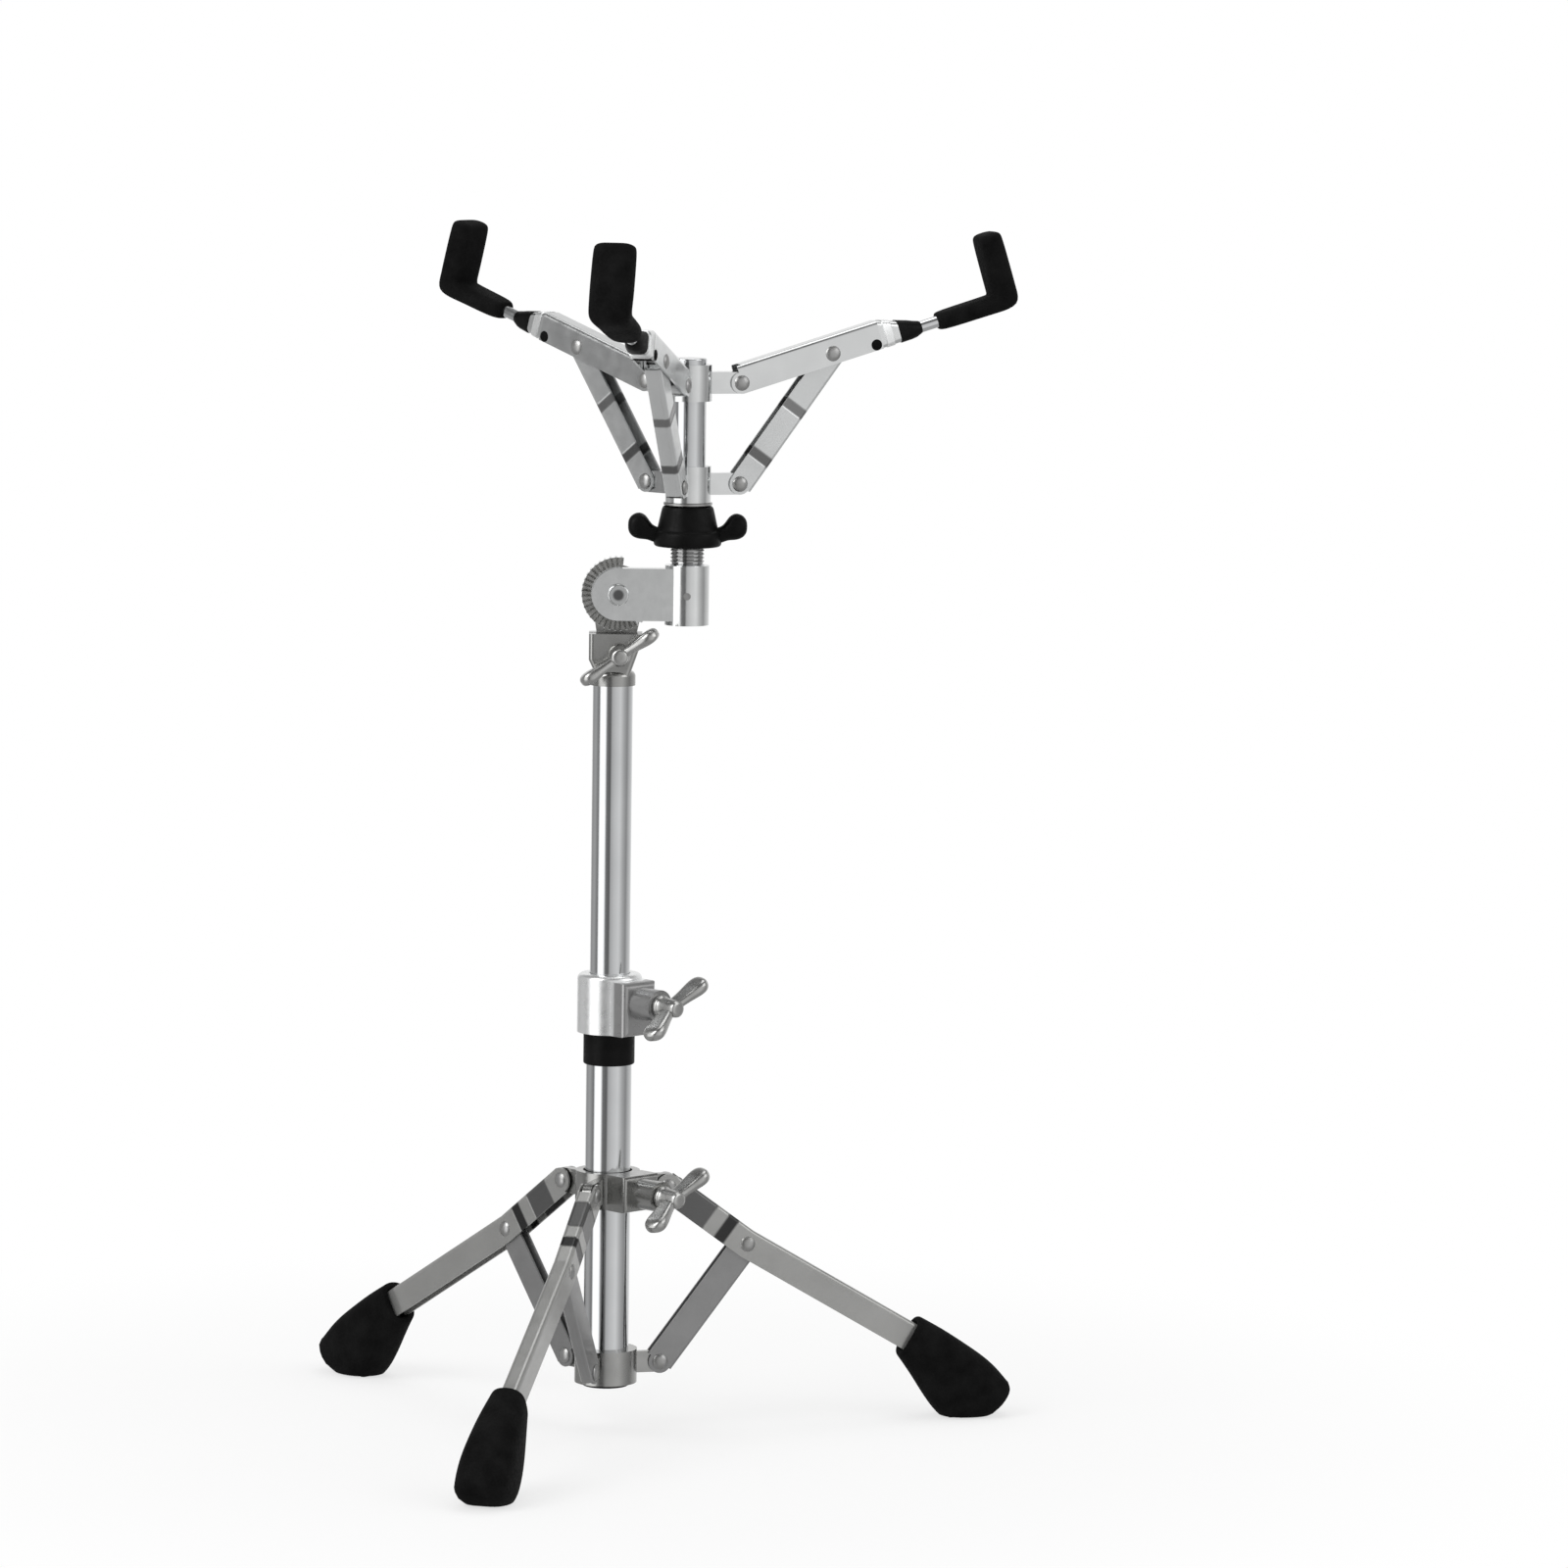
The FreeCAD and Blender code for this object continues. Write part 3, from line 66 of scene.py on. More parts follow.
def camera_turn():
    """Rotation that looks along +Y, then yaws to +X, pitches up and rolls."""
    yaw = Matrix.Rotation(-CAMERA_YAW, 4, "Z")
    pitch = Matrix.Rotation(math.radians(90) + CAMERA_PITCH, 4, "X")
    roll = Matrix.Rotation(CAMERA_ROLL, 4, "Z")
    return yaw @ pitch @ roll


lens = bpy.data.cameras.new("camera")
lens.sensor_width = 36
lens.lens = lens.sensor_width * FOCAL_PIXELS / FRAME_PIXELS
lens.clip_end = 100
camera = bpy.data.objects.new("camera", lens)
camera.matrix_world = Matrix.Translation(CAMERA_PLACE) @ camera_turn()
bpy.context.scene.collection.objects.link(camera)
bpy.context.scene.camera = camera
bpy.context.scene.view_settings.view_transform = "Standard"
print("lens:", round(lens.lens, 1), "mm")

# %% [markdown]
# ## Studio
# Chrome has no colour of its own: it shows the room. The camera sees plain white, and the metal sees a
# studio that is white behind the stand, with a bright soft box at the left front, grey walls beside the
# camera and a dim ceiling. Cards could be set up for that, but they would stand in the way of other views,
# so the world paints the walls by direction. Reflections take it, and plain soft light comes from the rest.

# %% Choose the walls and start the studio
# Direction to the wall, in degrees to the right of the camera as seen from the stand, and its brightness
STUDIO_WALLS = [
    (-158, 0.90),
    (-148, 0.34),
    (-108, 0.44),
    (-94, 0.32),
    (-80, 0.24),
    (-72, 1.45),
    (-41, 1.45),
    (-30, 0.20),
    (-9, 0.14),
    (-2, 0.50),
    (18, 0.66),
    (48, 0.80),
    (72, 0.50),
    (96, 0.32),
    (114, 0.54),
    (160, 0.86),
]
# How steeply a view goes up or down where the ceiling or the ground takes over, and its brightness
CEILING = (0.35, 0.75, 0.16)
GROUND = (-0.30, -0.60, 0.42)
AMBIENT_LIGHT = 0.55

studio = bpy.data.worlds.new("studio")
bpy.context.scene.world = studio
studio.use_nodes = True
studio.node_tree.nodes.clear()
print("studio walls:", len(STUDIO_WALLS))


# %% Paint the walls
def join(tree, source, target):
    """Link one socket to another."""
    tree.links.new(source, target)


def world_node(kind):
    """New node in the studio's tree."""
    return studio.node_tree.nodes.new(kind)


def wall_position(direction):
    """Place on the radial ramp of a wall that lies so many degrees to the right of the camera."""
    return (direction / 360 + 0.25) % 1


def painted_over(colour, height, start, full, light):
    """Cover a colour with a grey from a start height to a full height."""
    tree = studio.node_tree
    share = world_node("ShaderNodeMapRange")
    share.interpolation_type = "SMOOTHSTEP"
    share.inputs["From Min"].default_value = start
    share.inputs["From Max"].default_value = full
    cover = world_node("ShaderNodeMix")
    cover.data_type = "RGBA"
    cover.inputs["B"].default_value = (light, light, light, 1)
    join(tree, height, share.inputs["Value"])
    join(tree, share.outputs["Result"], cover.inputs["Factor"])
    join(tree, colour, cover.inputs["A"])
    return cover.outputs["Result"]


def paint_walls():
    """Colour ramp round the stand, under the ceiling and above the ground."""
    tree = studio.node_tree
    place = world_node("ShaderNodeTexCoord")
    round_view = world_node("ShaderNodeTexGradient")
    round_view.gradient_type = "RADIAL"
    walls = world_node("ShaderNodeValToRGB")
    stops = walls.color_ramp.elements
    for position, light in sorted((wall_position(bearing), light) for bearing, light in STUDIO_WALLS):
        stop = stops.new(position)
        stop.color = (light, light, light, 1)
    stops.remove(stops[0])
    stops.remove(stops[-1])
    direction = world_node("ShaderNodeSeparateXYZ")
    join(tree, place.outputs["Generated"], round_view.inputs["Vector"])
    join(tree, round_view.outputs["Fac"], walls.inputs["Fac"])
    join(tree, place.outputs["Generated"], direction.inputs["Vector"])
    room = painted_over(walls.outputs["Color"], direction.outputs["Z"], *CEILING)
    return painted_over(room, direction.outputs["Z"], *GROUND)


painted_walls = paint_walls()
print("nodes of the painted walls:", len(studio.node_tree.nodes))


# %% Show the walls to mirrors only
def background(strength, colour=None):
    """World background of one strength, white or of a painted colour."""
    node = world_node("ShaderNodeBackground")
    node.inputs["Color"].default_value = (1, 1, 1, 1)
    node.inputs["Strength"].default_value = strength
    if colour is not None:
        join(studio.node_tree, colour, node.inputs["Color"])
    return node.outputs["Background"]


def chosen(tree, share, first, second):
    """Mix two shaders: the first where the share is 0, the second where it is 1."""
    mix = tree.nodes.new("ShaderNodeMixShader")
    join(tree, share, mix.inputs[0])
    join(tree, first, mix.inputs[1])
    join(tree, second, mix.inputs[2])
    return mix.outputs["Shader"]


def mirrored(tree, rays):
    """1 for rays that a mirror or a clear body sends on."""
    either = tree.nodes.new("ShaderNodeMath")
    either.operation = "MAXIMUM"
    join(tree, rays.outputs["Is Glossy Ray"], either.inputs[0])
    join(tree, rays.outputs["Is Transmission Ray"], either.inputs[1])
    return either.outputs["Value"]


rays = world_node("ShaderNodeLightPath")
seen_in_metal = chosen(studio.node_tree, mirrored(studio.node_tree, rays),
                       background(AMBIENT_LIGHT), background(1, painted_walls))
seen = chosen(studio.node_tree, rays.outputs["Is Camera Ray"], seen_in_metal, background(1))
join(studio.node_tree, seen, world_node("ShaderNodeOutputWorld").inputs["Surface"])
print("nodes of the studio:", len(studio.node_tree.nodes))

# %% [markdown]
# ## Floor and lamps
# The stand is on a plain pale floor. A plane would show its edge, so a wide disc fades to the white of the
# background, and only its middle keeps the soft shadow. Mirrors look through it to the studio's grey
# ground, because an endless white floor would bleach the undersides of the bars.

# %% Lay the floor
FLOOR_RADIUS = 20
FLOOR_DROP = 0.0002
FLOOR_LIGHT = 0.68
SHADOW_REACH = (0.24, 0.60)


def floor_finish():
    """Pale paper that fades into the background."""
    paper = bpy.data.materials.new("pale_floor")
    paper.use_nodes = True
    tree = paper.node_tree
    sheet = tree.nodes["Principled BSDF"]
    sheet.inputs["Base Color"].default_value = (0.93, 0.93, 0.93, 1)
    sheet.inputs["Roughness"].default_value = 0.9
    sheet.inputs["Specular IOR Level"].default_value = 0.1
    place = tree.nodes.new("ShaderNodeTexCoord")
    distance = tree.nodes.new("ShaderNodeVectorMath")
    distance.operation = "LENGTH"
    join(tree, place.outputs["Object"], distance.inputs[0])
    to_white = tree.nodes.new("ShaderNodeMapRange")
    to_white.interpolation_type = "SMOOTHSTEP"
    to_white.inputs["From Min"].default_value = SHADOW_REACH[0]
    to_white.inputs["From Max"].default_value = SHADOW_REACH[1]
    to_white.inputs["To Min"].default_value = FLOOR_LIGHT
    join(tree, distance.outputs["Value"], to_white.inputs["Value"])
    white = tree.nodes.new("ShaderNodeEmission")
    clear = tree.nodes.new("ShaderNodeBsdfTransparent")
    rays = tree.nodes.new("ShaderNodeLightPath")
    paper_shader = sheet.outputs["BSDF"]
    in_view = chosen(tree, to_white.outputs["Result"], paper_shader, white.outputs["Emission"])
    lit = chosen(tree, mirrored(tree, rays), paper_shader, clear.outputs["BSDF"])
    shown = chosen(tree, rays.outputs["Is Camera Ray"], lit, in_view)
    join(tree, shown, tree.nodes["Material Output"].inputs["Surface"])
    return paper


disc = bmesh.new()
bmesh.ops.create_circle(disc, cap_ends=True, segments=96, radius=FLOOR_RADIUS)
bmesh.ops.translate(disc, verts=disc.verts, vec=(0, 0, -FLOOR_DROP))
floor_mesh = bpy.data.meshes.new("floor")
disc.to_mesh(floor_mesh)
disc.free()
floor_mesh.materials.append(floor_finish())
floor = bpy.data.objects.new("floor", floor_mesh)
bpy.context.scene.collection.objects.link(floor)
print("floor radius:", FLOOR_RADIUS, "m")

# %% Hang the lamps
# Name, direction to the right of the camera, height above the horizon, distance, width and power
LAMPS = [
    ("key_lamp", -55, 38, 2.6, 1.5, 24),
    ("fill_lamp", 70, 30, 2.8, 1.8, 12),
    ("top_lamp", 150, 75, 2.6, 1.8, 16),
]
STAND_MIDDLE = Vector((0, 0, 0.33))

for name, bearing, rise, distance, width, power in LAMPS:
    across = math.radians(bearing)
    up = math.radians(rise)
    heading = Vector((math.sin(across) * math.cos(up), -math.cos(across) * math.cos(up), math.sin(up)))
    lamp = bpy.data.lights.new(name, "AREA")
    lamp.size = width
    lamp.energy = power
    hung = bpy.data.objects.new(name, lamp)
    hung.location = STAND_MIDDLE + heading * distance
    hung.rotation_euler = heading.to_track_quat("Z", "Y").to_euler()
    bpy.context.scene.collection.objects.link(hung)
    print(name, "power", power, "W")

# %% [markdown]
# ## Finishes
# A stand like this has bright chrome tubes, pressed bars whose plating is a little duller, castings whose
# plating shows the skin of the mould, zinc on the pins, matte rubber and satin plastic. Image textures
# could carry all that, but noise on Object coordinates stays sharp at any distance and needs no files.

# %% Start a finish
def shader_of(finish):
    """Principled shader of a finish."""
    return finish.node_tree.nodes["Principled BSDF"]


def plain(finish, socket, value):
    """Set a plain value on a socket of the shader."""
    shader_of(finish).inputs[socket].default_value = value


def new_finish(name, colour, metallic, roughness):
    """Start a finish: a Principled shader with its plain values on its own sockets."""
    finish = bpy.data.materials.new(name)
    finish.use_nodes = True
    plain(finish, "Base Color", (*colour, 1))
    plain(finish, "Metallic", metallic)
    plain(finish, "Roughness", roughness)
    return finish


print("a finish starts with its colour, its share of metal and its roughness")

# %% Vary a finish with patterns
# Most of a noise lies between these values
NOISE_RANGE = (0.32, 0.68)


def grain(finish, scale, stretch=(1, 1, 1), detail=4):
    """Noise on Object coordinates. A stretch under 1 draws the noise out along that axis."""
    tree = finish.node_tree
    place = tree.nodes.new("ShaderNodeTexCoord")
    mapping = tree.nodes.new("ShaderNodeMapping")
    mapping.inputs["Scale"].default_value = stretch
    noise = tree.nodes.new("ShaderNodeTexNoise")
    noise.inputs["Scale"].default_value = scale
    noise.inputs["Detail"].default_value = detail
    join(tree, place.outputs["Object"], mapping.inputs["Vector"])
    join(tree, mapping.outputs["Vector"], noise.inputs["Vector"])
    return noise.outputs["Fac"]


def spread(finish, pattern, low, high):
    """Stretch the middle of a pattern to a low and a high value."""
    node = finish.node_tree.nodes.new("ShaderNodeMapRange")
    node.inputs["From Min"].default_value = NOISE_RANGE[0]
    node.inputs["From Max"].default_value = NOISE_RANGE[1]
    node.inputs["To Min"].default_value = low
    node.inputs["To Max"].default_value = high
    join(finish.node_tree, pattern, node.inputs["Value"])
    return node.outputs["Result"]


def roughened(finish, pattern, low, high):
    """Let a pattern set the roughness."""
    join(finish.node_tree, spread(finish, pattern, low, high), shader_of(finish).inputs["Roughness"])


def tinted(finish, pattern, dark, light):
    """Let a pattern move the colour between two tones."""
    tree = finish.node_tree
    mix = tree.nodes.new("ShaderNodeMix")
    mix.data_type = "RGBA"
    mix.inputs["A"].default_value = (*dark, 1)
    mix.inputs["B"].default_value = (*light, 1)
    join(tree, spread(finish, pattern, 0, 1), mix.inputs["Factor"])
    join(tree, mix.outputs["Result"], shader_of(finish).inputs["Base Color"])


def darkened(finish, pattern, tone):
    """Let a pattern pull the colour down to a dark tone."""
    tree = finish.node_tree
    colour = shader_of(finish).inputs["Base Color"]
    mix = tree.nodes.new("ShaderNodeMix")
    mix.data_type = "RGBA"
    mix.inputs["B"].default_value = (tone, tone, tone, 1)
    join(tree, pattern, mix.inputs["Factor"])
    join(tree, colour.links[0].from_socket, mix.inputs["A"])
    join(tree, mix.outputs["Result"], colour)


def raised(finish, pattern, height, strength):
    """Let a pattern stand up from the surface by a height in metres, over what stands up already."""
    tree = finish.node_tree
    normal = shader_of(finish).inputs["Normal"]
    bump = tree.nodes.new("ShaderNodeBump")
    bump.inputs["Strength"].default_value = strength
    bump.inputs["Distance"].default_value = height
    if normal.is_linked:
        join(tree, normal.links[0].from_socket, bump.inputs["Normal"])
    join(tree, pattern, bump.inputs["Height"])
    join(tree, bump.outputs["Normal"], normal)


print("noise is spread from", NOISE_RANGE[0], "to", NOISE_RANGE[1])

# %% [markdown]
# ### Pressed bands with painted shade
# The bars are folded from sheet, and the press leaves shallow sunk bands across them: two on each leg above
# its knee and two on each basket strut. They could be modelled, but they are very shallow, so the finish
# sinks them. It also darkens them with painted shade: on the legs, the shade near the collar and its wing
# bolt, and on the struts, the shade under the arm's edge and beside the hub's lug. Each bar turns about a
# vertical axis to the next one, so one line, measured by its reach from that axis and its height, serves
# all three.

# %% Find the lines of the bars
MILLIMETRE = 0.001
BASKET_AXIS = 40.4
LEG_TOP = Vector((34, 0, 137))
KNEE = Vector((80, 0, 103))
ARM_ROOT = Vector((28.5, 0, 587))
ARM_STRUT_FOOT = Vector((28.5, 0, 531))
ARM_RISE = math.radians(17)
KNUCKLE_REACH = 54.9
TILTER_PIVOT = Vector((2.5, 0, 470))
arm_run = Vector((math.cos(ARM_RISE), 0, math.sin(ARM_RISE)))
arm_lift = Vector((-arm_run.z, 0, arm_run.x))


def arm_point(along, rise):
    """Point at a distance along the arm from its hub pivot, and a rise square to it."""
    return ARM_ROOT + arm_run * along + arm_lift * rise


KNUCKLE = arm_point(KNUCKLE_REACH, 0)
print("knuckle:", [round(size, 1) for size in KNUCKLE])


# %% Measure along a bar
def vector_step(finish, operation, vector, value=None):
    """Vector Math node with one linked vector and one plain vector."""
    node = finish.node_tree.nodes.new("ShaderNodeVectorMath")
    node.operation = operation
    join(finish.node_tree, vector, node.inputs[0])
    if value is not None:
        node.inputs[1].default_value = value
    return node


def distance_along(finish, axis_x, start, end):
    """Distance along a bar's line, for any bar that repeats round a vertical axis."""
    tree = finish.node_tree
    place = tree.nodes.new("ShaderNodeTexCoord").outputs["Object"]
    from_axis = vector_step(finish, "SUBTRACT", place, (axis_x * MILLIMETRE, 0, 0))
    level = vector_step(finish, "MULTIPLY", from_axis.outputs["Vector"], (1, 1, 0))
    reach = vector_step(finish, "LENGTH", level.outputs["Vector"])
    parts = tree.nodes.new("ShaderNodeSeparateXYZ")
    join(tree, place, parts.inputs["Vector"])
    in_plane = tree.nodes.new("ShaderNodeCombineXYZ")
    join(tree, reach.outputs["Value"], in_plane.inputs["X"])
    join(tree, parts.outputs["Z"], in_plane.inputs["Z"])
    from_start = vector_step(finish, "SUBTRACT", in_plane.outputs["Vector"], start * MILLIMETRE)
    along = vector_step(finish, "DOT_PRODUCT", from_start.outputs["Vector"], (end - start).normalized())
    return along.outputs["Value"]


def distance_from_pin(finish, centre):
    """Distance from the line along Y through a point."""
    place = finish.node_tree.nodes.new("ShaderNodeTexCoord").outputs["Object"]
    from_centre = vector_step(finish, "SUBTRACT", place, centre * MILLIMETRE)
    level = vector_step(finish, "MULTIPLY", from_centre.outputs["Vector"], (1, 0, 1))
    return vector_step(finish, "LENGTH", level.outputs["Vector"]).outputs["Value"]


print("leg from its top to its knee:", round((KNEE - LEG_TOP).length, 1), "mm")

# %% Press bands into a finish
BAND_EDGE = 1.6
BAND_DEPTH = 0.0003


def band(finish, along, middle, half_width):
    """Pattern that is 1 across a band and falls smoothly to 0 at its edges."""
    tree = finish.node_tree
    offset = tree.nodes.new("ShaderNodeMath")
    offset.operation = "SUBTRACT"
    offset.inputs[1].default_value = middle * MILLIMETRE
    size = tree.nodes.new("ShaderNodeMath")
    size.operation = "ABSOLUTE"
    fall = tree.nodes.new("ShaderNodeMapRange")
    fall.interpolation_type = "SMOOTHSTEP"
    fall.inputs["From Min"].default_value = (half_width - BAND_EDGE) * MILLIMETRE
    fall.inputs["From Max"].default_value = half_width * MILLIMETRE
    fall.inputs["To Min"].default_value = 1
    fall.inputs["To Max"].default_value = 0
    join(tree, along, offset.inputs[0])
    join(tree, offset.outputs["Value"], size.inputs[0])
    join(tree, size.outputs["Value"], fall.inputs["Value"])
    return fall.outputs["Result"]


def banded(finish, axis_x, start, end, bands):
    """Press bands across a bar. Each is its middle along the bar, half its width, and its tone."""
    along = distance_along(finish, axis_x, start, end)
    for middle, half_width, tone in bands:
        pattern = band(finish, along, middle, half_width)
        darkened(finish, pattern, tone)
        raised(finish, pattern, -BAND_DEPTH, 1)


print("depth of a pressed band:", round(BAND_DEPTH / MILLIMETRE, 2), "mm")

# %% [markdown]
# ### Chrome and castings
# Chrome over drawn tube is smooth, with faint lines along the draw and a haze of handling. A pressed bar
# is polished less, so its mirror is softer and darker. A plated casting keeps the ripple of the mould.
# One metal shader serves them all, and only the tone, the noise and the roughness change.

# %% Make the chrome
def chrome_finish(name):
    """Chrome on drawn tube."""
    finish = new_finish(name, (0.70, 0.71, 0.72), 1, 0.10)
    roughened(finish, grain(finish, 900, (1, 1, 0.02)), 0.07, 0.15)
    tinted(finish, grain(finish, 35, detail=6), (0.68, 0.69, 0.70), (0.73, 0.74, 0.75))
    raised(finish, grain(finish, 1400, (1, 1, 0.01)), 0.00002, 0.08)
    return finish


chrome = chrome_finish("chrome_tube")
# The thread of the post is plain dull steel: its middle, half its length and its tone
POST_THREAD = (505, 19, 0.46)
threaded_chrome = chrome_finish("chrome_post")
banded(threaded_chrome, BASKET_AXIS, Vector((0, 0, 0)), Vector((0, 0, 1)), [POST_THREAD])
print("chrome finishes: 2")


# %% Make the sheet finishes
def sheet_finish(name, dark, light, metallic):
    """Plated sheet: a soft mirror with a slight haze. Satin plating is less metallic."""
    finish = new_finish(name, light, metallic, 0.2)
    roughened(finish, grain(finish, 140, detail=6), 0.16, 0.24)
    tinted(finish, grain(finish, 45, detail=6), dark, light)
    raised(finish, grain(finish, 420), 0.0001, 0.06)
    return finish


# Middle along the bar, half the width and the tone of each pressed band. The tones are painted shade.
LEG_PAINTED_SHADE_BANDS = [(21, 10, 0.12), (42, 4.2, 0.03)]
ARM_STRUT_PAINTED_SHADE_BANDS = [(19, 3.6, 0.16), (52, 3.6, 0.24)]

leg_sheet = sheet_finish("satin_leg", (0.37, 0.37, 0.36), (0.41, 0.41, 0.40), 0.5)
# The legs' pressed bands are sunk and darkened with painted shade
banded(leg_sheet, 0, LEG_TOP, KNEE, LEG_PAINTED_SHADE_BANDS)
strut_sheet = sheet_finish("satin_leg_strut", (0.27, 0.27, 0.27), (0.31, 0.31, 0.31), 0.5)
arm_sheet = sheet_finish("chrome_arm", (0.76, 0.77, 0.77), (0.82, 0.83, 0.83), 1)
arm_strut_sheet = sheet_finish("satin_arm_strut", (0.67, 0.68, 0.68), (0.73, 0.74, 0.74), 0.8)
# The basket struts' pressed bands are sunk and darkened with painted shade
banded(arm_strut_sheet, BASKET_AXIS, ARM_STRUT_FOOT, KNUCKLE, ARM_STRUT_PAINTED_SHADE_BANDS)
print("sheet finishes: 4")


# %% Make the cast finishes
def cast_finish(name, dark, light, smooth, rough, ripple, metallic=1.0):
    """Plated casting, whose skin ripples by a height in metres."""
    finish = new_finish(name, light, metallic, rough)
    roughened(finish, grain(finish, 260, detail=6), smooth, rough)
    tinted(finish, grain(finish, 70, detail=6), dark, light)
    raised(finish, grain(finish, 330, detail=2), ripple, 0.22)
    return finish


casting = cast_finish("plated_casting", (0.76, 0.77, 0.77), (0.82, 0.83, 0.83), 0.10, 0.19, 0.00006)
SATIN = ((0.93, 0.94, 0.94), (0.97, 0.98, 0.98), 0.26, 0.34, 0.00004, 0.85)
bright_casting = cast_finish("satin_casting", *SATIN)
dull_casting = cast_finish("dull_casting", (0.39, 0.39, 0.38), (0.44, 0.44, 0.43), 0.18, 0.28, 0.00008)
wing_plate = cast_finish("plated_wing", (0.46, 0.46, 0.45), (0.58, 0.58, 0.57), 0.22, 0.34, 0.00004)
print("cast finishes: 4")

# %% Paint shade on the clamp's block and the bolt's socket
# The clamp's barrel is polished, and the block beside it is darkened with painted shade.
# Middle and half of the block's reach from the column, and the tone of its painted shade
CLAMP_BLOCK = (35, 15.5)
CLAMP_BLOCK_SHADE_TONE = 0.42
clamp_casting = cast_finish("clamp_casting", *SATIN)
from_column = distance_along(clamp_casting, 0, Vector((0, 0, 0)), Vector((1, 0, 0)))
darkened(clamp_casting, band(clamp_casting, from_column, *CLAMP_BLOCK), CLAMP_BLOCK_SHADE_TONE)

# The socket in the pivot bolt's head is darkened with painted shade of its hollow
SOCKET_RADIUS = 3.8
SOCKET_SHADE_TONE = 0.16
bolt_steel = cast_finish("bolt_steel", (0.66, 0.67, 0.67), (0.74, 0.75, 0.75), 0.14, 0.26, 0.00006)
from_pivot = distance_from_pin(bolt_steel, TILTER_PIVOT)
darkened(bolt_steel, band(bolt_steel, from_pivot, 0, SOCKET_RADIUS), SOCKET_SHADE_TONE)
print("castings with a dull part: 2")

# %% Make the machined finishes
zinc = new_finish("zinc_steel", (0.45, 0.45, 0.44), 1, 0.35)
roughened(zinc, grain(zinc, 500), 0.28, 0.45)
tinted(zinc, grain(zinc, 240, detail=6), (0.40, 0.40, 0.39), (0.50, 0.50, 0.50))
raised(zinc, grain(zinc, 900), 0.0001, 0.12)

dark_steel = new_finish("worn_steel", (0.40, 0.40, 0.39), 1, 0.5)
roughened(dark_steel, grain(dark_steel, 600), 0.42, 0.58)
tinted(dark_steel, grain(dark_steel, 300, detail=6), (0.32, 0.32, 0.31), (0.48, 0.48, 0.47))
raised(dark_steel, grain(dark_steel, 900), 0.0001, 0.15)

brass = new_finish("machined_brass", (0.72, 0.54, 0.26), 1, 0.3)
roughened(brass, grain(brass, 800, (0.05, 0.05, 1)), 0.22, 0.38)
tinted(brass, grain(brass, 200), (0.66, 0.48, 0.21), (0.78, 0.60, 0.31))
print("machined finishes: 3")

# %% [markdown]
# ### Rubber, plastic and nylon
# The feet and grips are black moulded rubber, dull, with a fine sandy skin and a breath of dust. The knob
# and the skirt are satin plastic, a little shinier. The liner is natural nylon, which is milky, so it gets
# a trace of light under its skin.

# %% Make the moulded finishes
rubber = new_finish("black_rubber", (0.005, 0.005, 0.005), 0, 0.8)
roughened(rubber, grain(rubber, 700, detail=3), 0.66, 0.88)
tinted(rubber, grain(rubber, 90, detail=8), (0.003, 0.003, 0.003), (0.008, 0.008, 0.008))
raised(rubber, grain(rubber, 1500, detail=2), 0.0002, 0.35)
plain(rubber, "Specular IOR Level", 0.08)

plastic = new_finish("black_plastic", (0.004, 0.004, 0.004), 0, 0.42)
roughened(plastic, grain(plastic, 600, detail=3), 0.34, 0.52)
tinted(plastic, grain(plastic, 120, detail=6), (0.003, 0.003, 0.003), (0.006, 0.006, 0.006))
raised(plastic, grain(plastic, 2200, detail=1), 0.0001, 0.25)
plain(plastic, "Specular IOR Level", 0.1)

nylon = new_finish("natural_nylon", (0.74, 0.72, 0.66), 0, 0.5)
roughened(nylon, grain(nylon, 500), 0.42, 0.58)
tinted(nylon, grain(nylon, 150), (0.70, 0.68, 0.62), (0.78, 0.76, 0.70))
plain(nylon, "Subsurface Weight", 0.15)
plain(nylon, "Subsurface Scale", 0.002)
print("moulded finishes: 3")

# %% [markdown]
# ### Finishes on the CAD nodes
# Each CAD node keeps its mesh and takes one finish in its material slot. A list by name could miss a node
# quietly, so the loop stops with an error if any node is left without one.

# %% Dress the CAD nodes
NODE_FINISHES = {
    "lower_tube": chrome,
    "upper_tube": chrome,
    "basket_post": threaded_chrome,
    "post_cap": chrome,
    "tube_end_plug": plastic,
    "clamp_skirt": plastic,
    "basket_knob": plastic,
    "clamp_liner": nylon,
    "thrust_washer": zinc,
    "knob_insert": brass,
    "lower_collar": dull_casting,
    "height_clamp": clamp_casting,
    "leg_collar": dull_casting,
    "tilter_base": dull_casting,
    "tilter_arm": casting,
    "upper_hub": casting,
    "lower_hub": casting,
    "clamp_wing_bolt": wing_plate,
    "collar_wing_bolt": wing_plate,
    "tilter_wing_bolt": wing_plate,
    "lower_pivot_pins": zinc,
    "hub_pivot_pins": zinc,
    "tilter_pivot_bolt": bolt_steel,
    "tilter_pivot_nut": zinc,
    "sleeve_rivet": zinc,
    "leg": leg_sheet,
    "leg_strut": strut_sheet,
    "leg_pins": zinc,
    "foot": rubber,
    "basket_arm": arm_sheet,
    "basket_strut": arm_strut_sheet,
    "arm_pins": zinc,
    "arm_rod": chrome,
    "grip": rubber,
}


def family(node):
    """Name of a node without the number of its side."""
    return node.rstrip("123").rstrip("_")


for node_name, node in frame["nodes"].items():
    node.data.materials.clear()
    node.data.materials.append(NODE_FINISHES[family(node_name)])
print("dressed nodes:", len(frame["nodes"]))

# %% [markdown]
# ## Tools for new pieces
# The sizes below repeat the CAD source, in millimetres, so each new piece lands on the node it stands for.
# Two ways of modelling cover nearly everything: turning a profile round an axis with spin, as on a lathe,
# and bridging a row of rounded rings, as in a loft.

# %% Build and hand over a piece
WELD = 1e-4
SHARP_ANGLE = math.radians(38)
SOFT_LEVELS = 2


def body_of(node):
    """Body that carries a CAD node."""
    groups = frame["record"]["behaviour"]["bodies"]
    return next(body for body, members in groups.items() if node in members)


